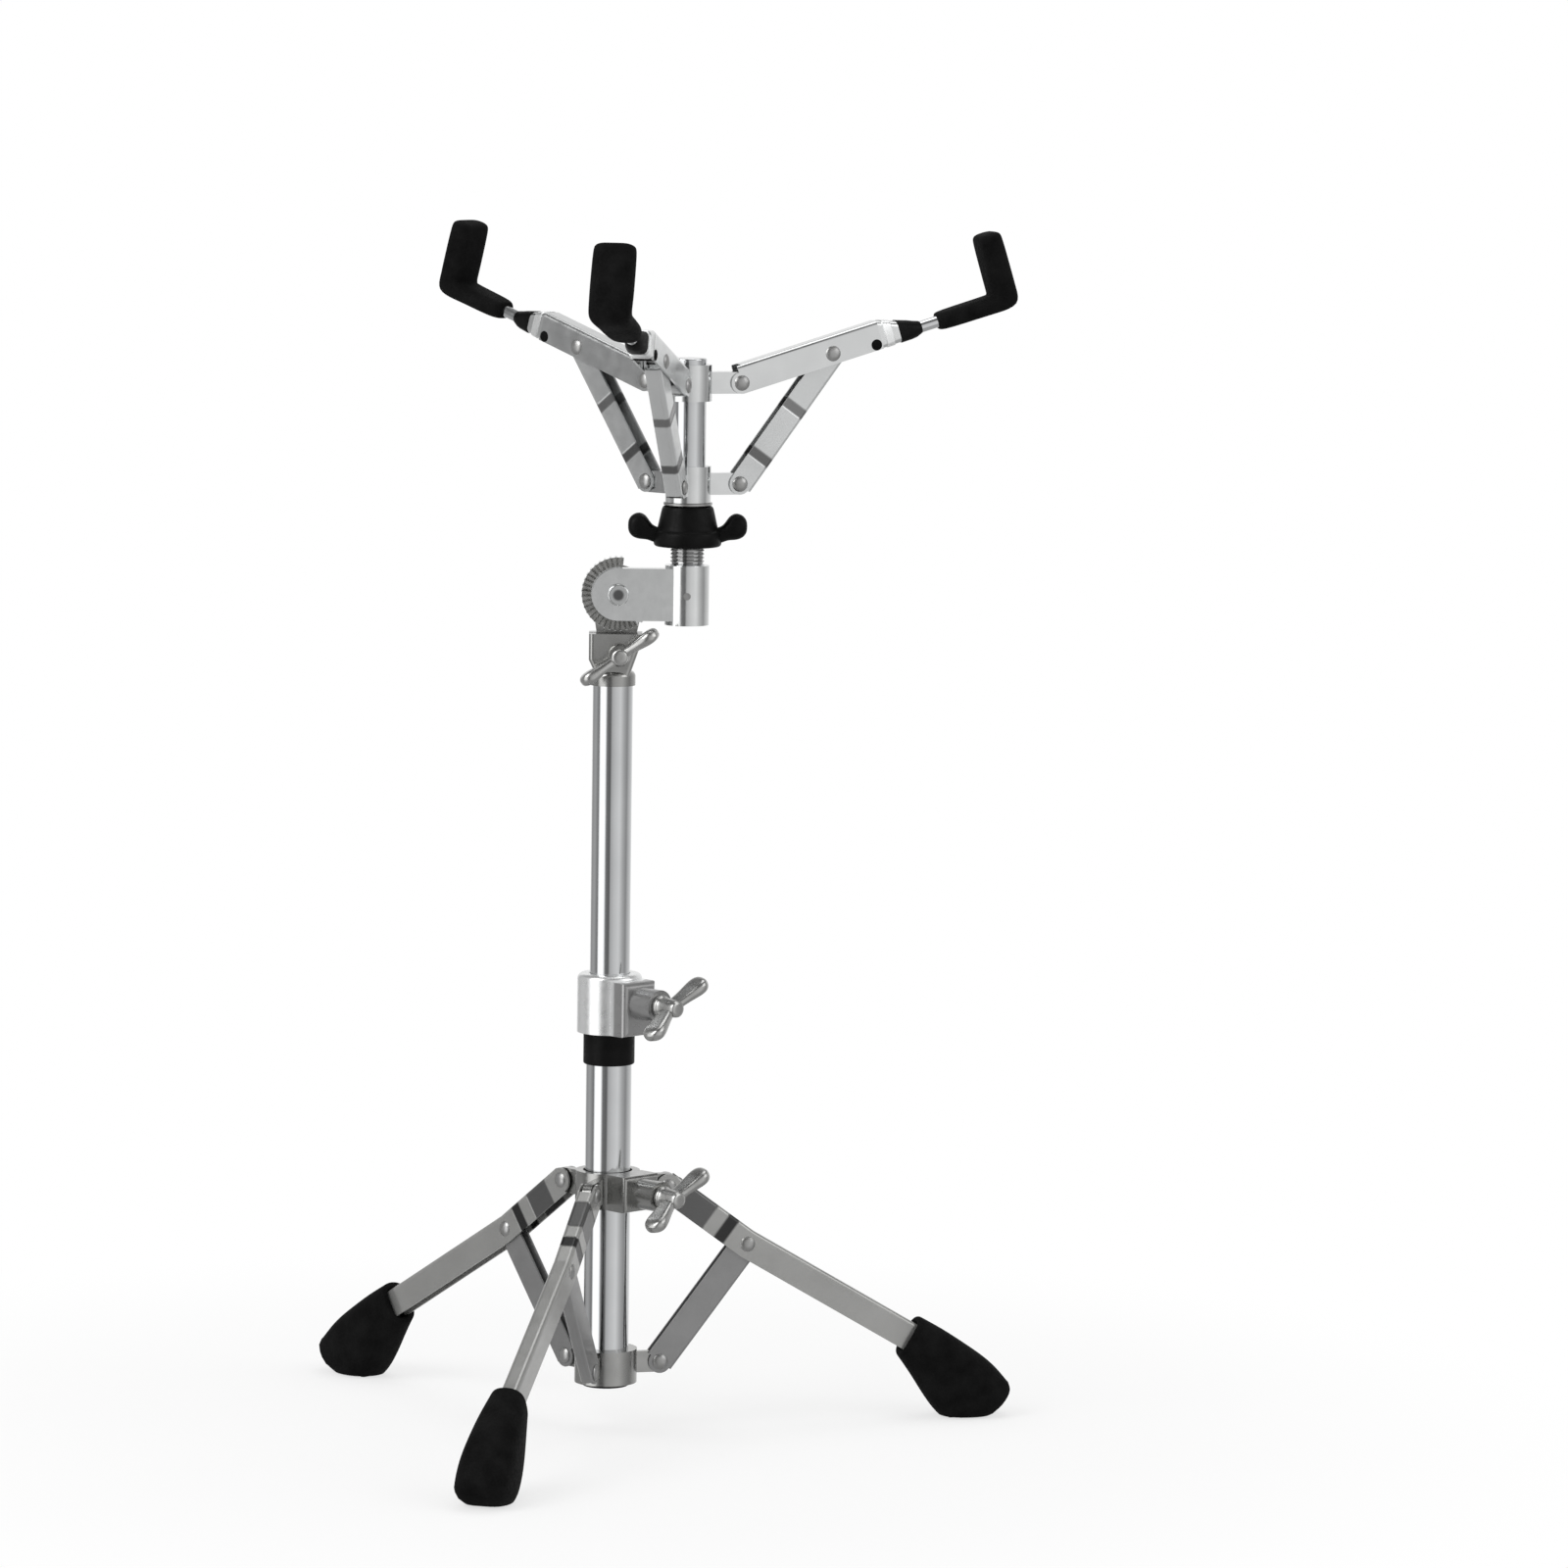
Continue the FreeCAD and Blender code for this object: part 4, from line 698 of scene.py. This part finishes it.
def hand_over(name, bm, finish, node, stands_for=(), place=None):
    """Make the object, in place and riding its node's body. It may stand for CAD nodes."""
    bmesh.ops.remove_doubles(bm, verts=bm.verts, dist=WELD)
    bmesh.ops.recalc_face_normals(bm, faces=bm.faces)
    if place is not None:
        bmesh.ops.transform(bm, matrix=place, verts=bm.verts)
    bmesh.ops.scale(bm, vec=(MILLIMETRE, MILLIMETRE, MILLIMETRE), verts=bm.verts)
    mesh = bpy.data.meshes.new(name)
    bm.to_mesh(mesh)
    bm.free()
    mesh.shade_smooth()
    mesh.set_sharp_from_angle(angle=SHARP_ANGLE)
    mesh.materials.append(finish)
    piece = bpy.data.objects.new(name, mesh)
    bpy.context.scene.collection.objects.link(piece)
    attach(piece, body_of(node))
    if stands_for:
        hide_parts(*stands_for)
    return piece


def softened(piece):
    """Round a coarse piece with a subdivision surface."""
    modifier = piece.modifiers.new("soft", "SUBSURF")
    modifier.levels = SOFT_LEVELS
    modifier.render_levels = SOFT_LEVELS
    return piece


def subdivided(bm):
    """Round a coarse bmesh for good, where a cut has to follow. Gives back the fine one."""
    mesh = bpy.data.meshes.new("coarse")
    bm.to_mesh(mesh)
    bm.free()
    coarse = softened(bpy.data.objects.new("coarse", mesh))
    bpy.context.scene.collection.objects.link(coarse)
    fine = bmesh.new()
    fine.from_object(coarse, bpy.context.evaluated_depsgraph_get())
    bpy.data.objects.remove(coarse)
    bpy.data.meshes.remove(mesh)
    return fine


print("edges stay sharp above", round(math.degrees(SHARP_ANGLE)), "degrees")


# %% Turn and loft
def spun(bm, profile, axis, steps):
    """Turn a profile round an axis. Its points are (radius, distance along the axis)."""
    side = Vector((1, 0, 0)) if axis.x == 0 else Vector((0, 0, 1))
    points = [bm.verts.new(side * radius + axis * along) for radius, along in profile]
    pairs = list(zip(points, points[1:]))
    starts_on_axis = profile[0][0] == 0
    if not starts_on_axis:
        pairs.append((points[-1], points[0]))
    edges = [bm.edges.new(pair) for pair in pairs]
    bmesh.ops.spin(bm, geom=points + edges, cent=(0, 0, 0), axis=axis, angle=2 * math.pi, steps=steps,
                   use_merge=True)


def placed(bm, place, make, *sizes):
    """Make one shape in a bmesh and move only its own points."""
    before = set(bm.verts)
    make(bm, *sizes)
    fresh = [vert for vert in bm.verts if vert not in before]
    bmesh.ops.transform(bm, matrix=place, verts=fresh)


def section(centre, across, up):
    """Matrix that lays a flat ring at a centre, along two directions."""
    turn = Matrix((across, up, across.cross(up))).transposed()
    return Matrix.Translation(centre) @ turn.to_4x4()


def ring(bm, width, height, corner, place):
    """Rounded rectangle: a one-face grid whose corners are bevelled. Gives back its face."""
    before = set(bm.verts)
    corners = bmesh.ops.create_grid(bm, x_segments=1, y_segments=1, size=0.5)["verts"]
    bmesh.ops.scale(bm, vec=(width, height, 1), verts=corners)
    bmesh.ops.bevel(bm, geom=corners, offset=corner, affect="VERTICES", segments=3, profile=0.5,
                    material=-1)
    rim = [vert for vert in bm.verts if vert not in before]
    bmesh.ops.transform(bm, matrix=place, verts=rim)
    return rim[0].link_faces[0]


def loft(bm, rings):
    """Bridge a row of rings into one closed skin. Each ring is (width, height, corner, place)."""
    faces = [ring(bm, *one) for one in rings]
    loops = [list(face.edges) for face in faces]
    bmesh.ops.delete(bm, geom=faces[1:-1], context="FACES_ONLY")
    for first, second in zip(loops, loops[1:]):
        bmesh.ops.bridge_loops(bm, edges=first + second)


def about(azimuth, x=0.0):
    """Turn about a vertical line, for pieces that repeat round the stand."""
    return Matrix.Translation((x, 0, 0)) @ Matrix.Rotation(math.radians(azimuth), 4, "Z")


print("tools ready")

# %% [markdown]
# ## Rubber boots
# Each leg ends in a moulded rubber boot that swells from its mouth to a fat toe and stands on a flat sole.
# It could be sculpted, but its sections are easy to read off the photograph, so rounded rings are lofted
# along the leg and smoothed. The first two rings make the pocket that the leg goes into, and a level cut
# just above the floor makes the sole.

# %% Choose the sections of a boot
LEG_AZIMUTHS = (13, 133, 253)
LEG_SIZE = (9.6, 16)
BOOT_MOUTH = Vector((175, 0, 47))
BOOT_LENGTH = 68
BOOT_WIDTH = 31
BOOT_ROUNDNESS = 0.42
BOOT_MOUTH_SIZE = (20, 25)
MOUTH_INSET = 1.5
MOUTH_CORNER = 7
POCKET_ROOM = 0.6
POCKET_CORNER = 2.4
# Shares of the length at the pocket's bottom and at its mouth
POCKET_SHARES = (0.08, 0.0)
# Share of the length, sag and depth in mouth depths, and swell from the mouth's width to the full width
BOOT_SECTIONS = [
    (0.015, 0.00, 1.03, 0.03),
    (0.05, 0.02, 1.06, 0.08),
    (0.24, 0.13, 1.31, 0.50),
    (0.46, 0.31, 1.60, 0.86),
    (0.68, 0.42, 1.74, 1.02),
    (0.84, 0.37, 1.44, 0.98),
    (0.95, 0.20, 0.84, 0.65),
    (1.00, 0.08, 0.34, 0.15),
]
SOLE_LIFT = 0.8
SIDEWAYS = Vector((0, 1, 0))
leg_run = (BOOT_MOUTH - KNEE).normalized()
leg_lift = Vector((-leg_run.z, 0, leg_run.x))
print("boot sections:", len(BOOT_SECTIONS))


# %% Make the boots
def boot_rings():
    """Pocket, mouth and body of a boot, along the leg's own plane."""
    pocket = [size + POCKET_ROOM for size in LEG_SIZE]
    rings = []
    for share in POCKET_SHARES:
        centre = BOOT_MOUTH + leg_run * (BOOT_LENGTH * share)
        rings.append((*pocket, POCKET_CORNER, section(centre, SIDEWAYS, leg_lift)))
    mouth = [size - MOUTH_INSET for size in BOOT_MOUTH_SIZE]
    rings.append((*mouth, MOUTH_CORNER, section(BOOT_MOUTH, SIDEWAYS, leg_lift)))
    for share, sag, depth_share, swell in BOOT_SECTIONS:
        centre = BOOT_MOUTH + leg_run * (BOOT_LENGTH * share) - leg_lift * (BOOT_MOUTH_SIZE[1] * sag)
        width = BOOT_MOUTH_SIZE[0] + (BOOT_WIDTH - BOOT_MOUTH_SIZE[0]) * swell
        depth = BOOT_MOUTH_SIZE[1] * depth_share
        corner = min(width, depth) * BOOT_ROUNDNESS
        rings.append((width, depth, corner, section(centre, SIDEWAYS, leg_lift)))
    return rings


def cut_level(bm, height):
    """Cut away what is below a height, and close the cut."""
    whole = bm.verts[:] + bm.edges[:] + bm.faces[:]
    cut = bmesh.ops.bisect_plane(bm, geom=whole, plane_co=(0, 0, height), plane_no=(0, 0, -1),
                                 clear_outer=True)
    rim = [part for part in cut["geom_cut"] if isinstance(part, bmesh.types.BMEdge)]
    bmesh.ops.edgeloop_fill(bm, edges=rim)
    corners = [vert.co for edge in rim for vert in edge.verts]
    reach = [point.x for point in corners]
    print("flat of the sole from", round(min(reach), 1), "to", round(max(reach), 1), "mm, half width",
          round(max(point.y for point in corners), 1), "mm")


for side, azimuth in enumerate(LEG_AZIMUTHS, 1):
    boot = bmesh.new()
    loft(boot, boot_rings())
    boot = subdivided(boot)
    cut_level(boot, SOLE_LIFT)
    hand_over(f"boot_{side}", boot, rubber, f"foot_{side}", [f"foot_{side}"], about(azimuth))
print("boots:", len(LEG_AZIMUTHS))

# %% [markdown]
# ### Soles
# Under the flat of the boot, a low tread keeps it from sliding. Its grooves are real gaps between blocks
# of rubber, each a low loft of four rings with softened edges.

# %% Make the soles
SOLE_RADIUS = 208.5
SOLE_LENGTH = 21
SOLE_WIDTH = 20
SOLE_BLOCKS = 4
SOLE_GROOVE = 1.6
# How much narrower a block would be at one sole's length from the middle
SOLE_TAPER = 14
BLOCK_CORNER = 1.2
# Height of a ring of the block, and how much smaller than the block it is
BLOCK_RINGS = [(0, 0.8), (0.4, 0.0), (1.6, 0.0), (2.4, 1.0)]


def sole_block(bm, length, width):
    """One tread block, standing on the floor and sunk into the boot above it."""
    across = Vector((1, 0, 0))
    rings = []
    for height, inset in BLOCK_RINGS:
        place = section(Vector((0, 0, height)), across, SIDEWAYS)
        rings.append((length - inset, width - inset, BLOCK_CORNER, place))
    loft(bm, rings)


block_length = (SOLE_LENGTH - SOLE_GROOVE * (SOLE_BLOCKS - 1)) / SOLE_BLOCKS
for side, azimuth in enumerate(LEG_AZIMUTHS, 1):
    sole = bmesh.new()
    for number in range(SOLE_BLOCKS):
        from_middle = (number - (SOLE_BLOCKS - 1) / 2) * (block_length + SOLE_GROOVE)
        narrowing = abs(from_middle) / SOLE_LENGTH * SOLE_TAPER
        place = Matrix.Translation((SOLE_RADIUS + from_middle, 0, 0))
        placed(sole, place, sole_block, block_length, SOLE_WIDTH - narrowing)
    hand_over(f"boot_sole_{side}", sole, rubber, f"foot_{side}", place=about(azimuth))
print("sole blocks:", SOLE_BLOCKS * len(LEG_AZIMUTHS))

# %% [markdown]
# ## Basket grips
# The drum rests in three rubber sleeves, bent in an L over the ends of the rods: a seat under the rim and a
# post beside it. A bent tube would have a round heel, but the moulded heel is nearly square, so the loft
# turns the corner on one slanted ring, as a mitre does.

# %% Make the grips
ARM_AZIMUTHS = (16, 136, 256)
GRIP_POST_MIDDLE = 160.6
GRIP_SEAT_RISE = -1.8
GRIP_ROUNDNESS = 0.44
# Along the arm, width and thickness of the seat
GRIP_SEAT = [(119.6, 10.5, 8.8), (120.4, 13.5, 9.6), (123, 18, 10), (130, 20, 10.2), (148, 20.5, 10.2),
             (152.5, 21.5, 10.4)]
GRIP_HEEL = (22.6, 17.2)
HEEL_ROUNDNESS = 0.3
# The mitre at the heel rises so far for so much run back along the arm
HEEL_RISE = 10
HEEL_RUN = 14
# Rise above the arm, width and thickness of the post
GRIP_POST = [(4.5, 23.6, 14.2), (9, 24, 14.2), (22, 24, 14), (33, 23.6, 13.8), (35.8, 22.6, 12.8),
             (37.0, 18, 9), (37.2, 9, 4)]


def grip_rings():
    """Seat, mitred heel and post of a grip, in the arm's own plane."""
    rings = []
    for along, width, thickness in GRIP_SEAT:
        place = section(arm_point(along, GRIP_SEAT_RISE), SIDEWAYS, arm_lift)
        rings.append((width, thickness, thickness * GRIP_ROUNDNESS, place))
    width, thickness = GRIP_HEEL
    slant = (arm_lift * HEEL_RISE - arm_run * HEEL_RUN).normalized()
    place = section(arm_point(GRIP_POST_MIDDLE, GRIP_SEAT_RISE), SIDEWAYS, slant)
    rings.append((width, thickness, thickness * HEEL_ROUNDNESS, place))
    for rise, width, thickness in GRIP_POST:
        place = section(arm_point(GRIP_POST_MIDDLE, rise), SIDEWAYS, -arm_run)
        rings.append((width, thickness, thickness * GRIP_ROUNDNESS, place))
    return rings


for side, azimuth in enumerate(ARM_AZIMUTHS, 1):
    grip = bmesh.new()
    loft(grip, grip_rings())
    piece = hand_over(f"grip_sleeve_{side}", grip, rubber, f"grip_{side}", [f"grip_{side}"],
                      about(azimuth, BASKET_AXIS))
    softened(piece)
print("grips:", len(ARM_AZIMUTHS))

# %% [markdown]
# ## Basket knob
# Under the basket, a black plastic knob with two ears runs on the post's thread and pushes the basket shut.
# Its body is round, so it is spun from a profile with the pocket of its brass insert. The ears are lofted
# out of the body, thin at the neck and fat at the tip, where a finger pushes.

# %% Make the knob
KNOB_BOTTOM = 496.2
KNOB_STEPS = 48
EAR_ROUNDNESS = 0.4
# Radius and height above the knob's underside
KNOB_PROFILE = [
    (9.7, 0), (16.6, 0), (18.2, 0.5), (19.0, 1.8), (19.0, 7.0), (18.4, 8.4), (17.2, 9.2), (16.6, 11),
    (14.6, 20.4), (14.0, 22.2), (12.6, 23), (9.7, 23), (9.7, 20), (12, 20), (12, 3), (9.7, 3),
]
# Distance from the axis, height of the middle, height and thickness of an ear
KNOB_EAR = [
    (12, 5.6, 8.4, 11.5), (18.5, 6.6, 8.8, 10.5), (20.8, 8.4, 10.4, 10.6), (23, 10.6, 13.4, 11.8),
    (26.5, 11.5, 15.2, 13), (30.2, 11.5, 13, 12), (32.2, 11.5, 8.6, 9), (33, 11.5, 4, 4.5),
]


def knob_ear(bm, direction):
    """Ear that points to one side of the knob."""
    rings = []
    for reach, height, depth, thickness in KNOB_EAR:
        place = section(Vector((direction * reach, 0, height)), SIDEWAYS, Vector((0, 0, 1)))
        rings.append((thickness, depth, min(depth, thickness) * EAR_ROUNDNESS, place))
    loft(bm, rings)


knob = bmesh.new()
spun(knob, KNOB_PROFILE, Vector((0, 0, 1)), KNOB_STEPS)
knob_ear(knob, -1)
knob_ear(knob, 1)
piece = hand_over("winged_knob", knob, plastic, "basket_knob", ["basket_knob"],
                  Matrix.Translation((BASKET_AXIS, 0, KNOB_BOTTOM)))
softened(piece)
print("knob faces:", len(piece.data.polygons))

# %% [markdown]
# ## Wing bolts
# Three cast wing bolts lock the height, the tripod and the tilt. Each has a tapered hub with a flange, and
# two wings that are thin at the hub and thick and round at the tips. The hub is spun and the wings lofted,
# and one subdivision surface gives them the soft edges of a casting.

# %% Shape a wing bolt
SCREW_RADIUS = 4
SCREW_END_RADIUS = 3.3
SCREW_CHAMFER = 0.8
FLANGE_FACE = 0.3
# Radius and distance along the bolt's axis
HUB_PROFILE = [
    (6.5, FLANGE_FACE), (6.5, 0.6), (6.5, 2.2), (6.1, 2.9), (5.5, 3.6), (4.9, 13.4), (4.4, 14.8),
    (2.6, 15.3), (0, 15.3),
]
BOLT_STEPS = 24
WING_ROOT = Vector((7.8, 0, 0))
WING_TIP = Vector((12.8, 0, 19))
WING_ROUNDNESS = 0.42
# Share of the way to the tip, half the width, and the thickness of a wing
WING_SECTIONS = [
    (0.00, 4.4, 5.6), (0.28, 4.8, 5.2), (0.50, 5.3, 5.4), (0.72, 6.0, 6.2), (0.92, 6.6, 7.2),
    (1.10, 6.6, 7.4), (1.22, 5.4, 6.6), (1.30, 3.4, 4.6), (1.33, 1.4, 2.2),
]


def wing_hub(screw_length):
    """Outline of the screw, flange and hub, along the bolt's axis."""
    screw = [
        (0, -screw_length),
        (SCREW_END_RADIUS, -screw_length),
        (SCREW_RADIUS, SCREW_CHAMFER - screw_length),
        (SCREW_RADIUS, FLANGE_FACE),
    ]
    return screw + HUB_PROFILE


def wing(bm, direction):
    """One wing, up or down from the hub."""
    tip = Vector((WING_TIP.x, 0, WING_TIP.z * direction))
    run = (tip - WING_ROOT).normalized()
    across = run.cross(SIDEWAYS)
    rings = []
    for share, half_width, thickness in WING_SECTIONS:
        place = section(WING_ROOT.lerp(tip, share), SIDEWAYS, across)
        corner = min(thickness, 2 * half_width) * WING_ROUNDNESS
        rings.append((thickness, 2 * half_width, corner, place))
    loft(bm, rings)


print("wing sections:", len(WING_SECTIONS))

# %% Make the wing bolts
BOSS_AZIMUTH = -47
WING_LEAN = -55


def turn(degrees, axis):
    """Rotation about an axis through the origin."""
    return Matrix.Rotation(math.radians(degrees), 4, axis)


def column_boss(reach, height):
    """Place of a wing bolt on a boss between two legs."""
    return turn(BOSS_AZIMUTH, "Z") @ Matrix.Translation((reach, 0, height)) @ turn(WING_LEAN, "X")


on_tilter = Matrix.Translation((3.5, -10, 436.5)) @ turn(-90, "Z") @ turn(WING_LEAN, "X")
# Node, length of the screw and place
WING_BOLTS = [
    ("clamp_wing_bolt", 26.9, column_boss(41, 243.5)),
    ("collar_wing_bolt", 30.4, column_boss(44, 137)),
    ("tilter_wing_bolt", 20, on_tilter),
]
for node_name, screw_length, place in WING_BOLTS:
    bolt = bmesh.new()
    spun(bolt, wing_hub(screw_length), Vector((1, 0, 0)), BOLT_STEPS)
    wing(bolt, -1)
    wing(bolt, 1)
    piece = hand_over(f"cast_{node_name}", bolt, wing_plate, node_name, [node_name], place)
    softened(piece)
print("wing bolts:", len(WING_BOLTS))

# %% [markdown]
# ## Tilter teeth
# The tilter keeps its angle by a steel ring of short teeth on the front of its disc, dull with wear and
# grease. They could be cut out of the disc, but each is only a small three-sided bar, so one is made, laid
# along the disc's radius and sunk a little into the ring, and spin copies it round.

# %% Make the tilter teeth
DISC_FACE = -5.05
TOOTH_MIDDLE = 17.6
TOOTH_LENGTH = 5.2
TOOTH_SIZE = 0.9
TOOTH_SINK = 0.35
TOOTH_START = 84
TOOTH_PITCH = 9
TOOTH_COPIES = 24
RING_THICKNESS = 0.4
RING_CORNER = 0.1
RING_STEPS_PER_TOOTH = 4
tooth_arc = math.radians(TOOTH_PITCH * TOOTH_COPIES)

teeth = bmesh.new()
bmesh.ops.create_cone(teeth, cap_ends=True, segments=3, radius1=TOOTH_SIZE, radius2=TOOTH_SIZE,
                      depth=TOOTH_LENGTH)
on_disc = Matrix.Translation((TOOTH_MIDDLE, DISC_FACE + TOOTH_SINK - RING_THICKNESS - TOOTH_SIZE / 2, 0))
laid = turn(-TOOTH_START, "Y") @ on_disc @ turn(90, "Y") @ turn(180, "Z")
bmesh.ops.transform(teeth, matrix=laid, verts=teeth.verts)
first_tooth = teeth.verts[:] + teeth.edges[:] + teeth.faces[:]
bmesh.ops.spin(teeth, geom=first_tooth, cent=(0, 0, 0), axis=-SIDEWAYS, steps=TOOTH_COPIES,
               angle=tooth_arc, use_duplicate=True)

# The ring under the teeth: one end face, swept round with caps left on
ring_size = (TOOTH_LENGTH, 2 * RING_THICKNESS, RING_CORNER)
ring_end = turn(-TOOTH_START, "Y") @ Matrix.Translation((TOOTH_MIDDLE, DISC_FACE, 0))
first_face = ring(teeth, *ring_size, ring_end)
bmesh.ops.spin(teeth, geom=[first_face], cent=(0, 0, 0), axis=-SIDEWAYS, angle=tooth_arc,
               steps=RING_STEPS_PER_TOOTH * TOOTH_COPIES)
hand_over("tilter_teeth", teeth, dark_steel, "tilter_arm",
          place=Matrix.Translation(TILTER_PIVOT))
print("tilter teeth:", TOOTH_COPIES + 1)

# %% [markdown]
# ## Arm ends
# Each arm is drawn down at its end, and a thinner rod goes on to the grip. A bright band closes the drawn
# nose and a dark bush holds the rod. Under them, a black rubber stop fills the open end of the channel: it
# is a dark piece put in as painted shade, where the channel's open end is dark inside. The band and the
# bush follow the nose, so they are lofted over its sections, and the stop is spun.

# %% Make the arm ends
NOSE_START = 84
NOSE_LENGTH = 22
# Width, depth, corner and rise of the nose's middle, at its start and at its tip
NOSE_ROOT = (13, 15.8, 2.4, 1.9)
NOSE_TIP = (9, 9, 4.1, -1.8)
# Distance along the arm and how far a ring stands out from the nose
BAND_RINGS = [(86.4, -0.4), (86.9, 0.9), (91.4, 0.9), (92.0, -0.4)]
BUSH_RINGS = [(95.4, -0.4), (96.0, 0.9), (103, 0.9), (106, 0.4)]
# Distance along the arm and diameter of the bush round the rod
BUSH_TIP = [(108.4, 7.8), (109.4, 7.0), (109.8, 6.0)]
BUSH_ROUNDNESS = 0.46
STOP_PLACE = (80.5, -2.9)
STOP_STEPS = 24
# Radius and distance from the arm's middle, for half of the stop
STOP_PROFILE = [(0, 7.3), (1.9, 7.2), (2.8, 6.9), (3.2, 6.4)]


def nose_ring(along, margin):
    """Ring over the nose at a distance along the arm."""
    share = (along - NOSE_START) / NOSE_LENGTH
    width, depth, corner, rise = [a + (b - a) * share for a, b in zip(NOSE_ROOT, NOSE_TIP)]
    place = section(arm_point(along, rise), SIDEWAYS, arm_lift)
    return (width + margin, depth + margin, corner, place)


def rod_ring(along, diameter):
    """Round ring about the rod at a distance along the arm."""
    place = section(arm_point(along, NOSE_TIP[3]), SIDEWAYS, arm_lift)
    return (diameter, diameter, diameter * BUSH_ROUNDNESS, place)


def arm_shade_stop(bm):
    """Rubber stop along Y through the origin, a dark piece that stands as painted shade in the channel's
    open end.
    """
    far_half = [(radius, -along) for radius, along in reversed(STOP_PROFILE)]
    spun(bm, STOP_PROFILE + far_half, SIDEWAYS, STOP_STEPS)


for side, azimuth in enumerate(ARM_AZIMUTHS, 1):
    node_name = f"basket_arm_{side}"
    place = about(azimuth, BASKET_AXIS)
    collar = bmesh.new()
    loft(collar, [nose_ring(*one) for one in BAND_RINGS])
    hand_over(f"nose_band_{side}", collar, bright_casting, node_name, place=place)
    bush = bmesh.new()
    loft(bush, [nose_ring(*one) for one in BUSH_RINGS] + [rod_ring(*one) for one in BUSH_TIP])
    hand_over(f"rod_bush_{side}", bush, plastic, node_name, place=place)
    stop = bmesh.new()
    placed(stop, Matrix.Translation(arm_point(*STOP_PLACE)), arm_shade_stop)
    hand_over(f"arm_shade_stop_{side}", stop, rubber, node_name, place=place)
print("arm ends:", len(ARM_AZIMUTHS))

# %% [markdown]
# ## Rivets
# Every pivot turns on a steel rivet with a domed head at each end. A sphere cut in half would be too tall,
# so a low dome is drawn as a profile and spun with the shank. The pins of one CAD node stay in one piece.

# %% Make the rivets
# Radius and rise above the face that the head sits on
RIVET_DOME = [(0, 1.4), (1.5, 1.32), (2.8, 1.02), (3.8, 0.5), (4.3, 0)]
RIVET_STEPS = 32
PIN_DIAMETER = 5
KNUCKLE_PIN_DIAMETER = 4
# Distance between the two heads of a rivet
ARM_RIVET_GRIP = 13
COLLAR_RIVET_GRIP = 7.2
HUB_RIVET_GRIP = 10.2
STRUT_FOOT = Vector((30.5, 0, 37.5))


def rivet(bm, diameter, grip):
    """Rivet along Y through the origin, with a domed head at both ends."""
    upper = [(radius, grip / 2 + rise) for radius, rise in RIVET_DOME] + [(diameter / 2, grip / 2)]
    lower = [(radius, -along) for radius, along in reversed(upper)]
    spun(bm, upper + lower, SIDEWAYS, RIVET_STEPS)


def rivet_group(name, node, pins, axis_x, azimuths):
    """Rivets of one CAD node. Each pin is (centre, diameter, grip), repeated at each azimuth."""
    group = bmesh.new()
    for azimuth in azimuths:
        for centre, diameter, grip in pins:
            placed(group, about(azimuth, axis_x) @ Matrix.Translation(centre), rivet, diameter, grip)
    hand_over(name, group, zinc, node, [node])


leg_rivets = [(LEG_TOP, PIN_DIAMETER, LEG_SIZE[0]), (KNEE, PIN_DIAMETER, LEG_SIZE[0])]
arm_rivets = [(ARM_ROOT, PIN_DIAMETER, ARM_RIVET_GRIP), (KNUCKLE, KNUCKLE_PIN_DIAMETER, ARM_RIVET_GRIP)]
collar_rivets = [(STRUT_FOOT, PIN_DIAMETER, COLLAR_RIVET_GRIP)]
hub_rivets = [(ARM_STRUT_FOOT, PIN_DIAMETER, HUB_RIVET_GRIP)]
for side, azimuth in enumerate(LEG_AZIMUTHS, 1):
    rivet_group(f"leg_rivets_{side}", f"leg_pins_{side}", leg_rivets, 0, [azimuth])
for side, azimuth in enumerate(ARM_AZIMUTHS, 1):
    rivet_group(f"arm_rivets_{side}", f"arm_pins_{side}", arm_rivets, BASKET_AXIS, [azimuth])
rivet_group("collar_rivets", "lower_pivot_pins", collar_rivets, 0, LEG_AZIMUTHS)
rivet_group("hub_rivets", "hub_pivot_pins", hub_rivets, BASKET_AXIS, ARM_AZIMUTHS)
leg_side = len(leg_rivets + collar_rivets) * len(LEG_AZIMUTHS)
arm_side = len(arm_rivets + hub_rivets) * len(ARM_AZIMUTHS)
print("rivets:", leg_side + arm_side)
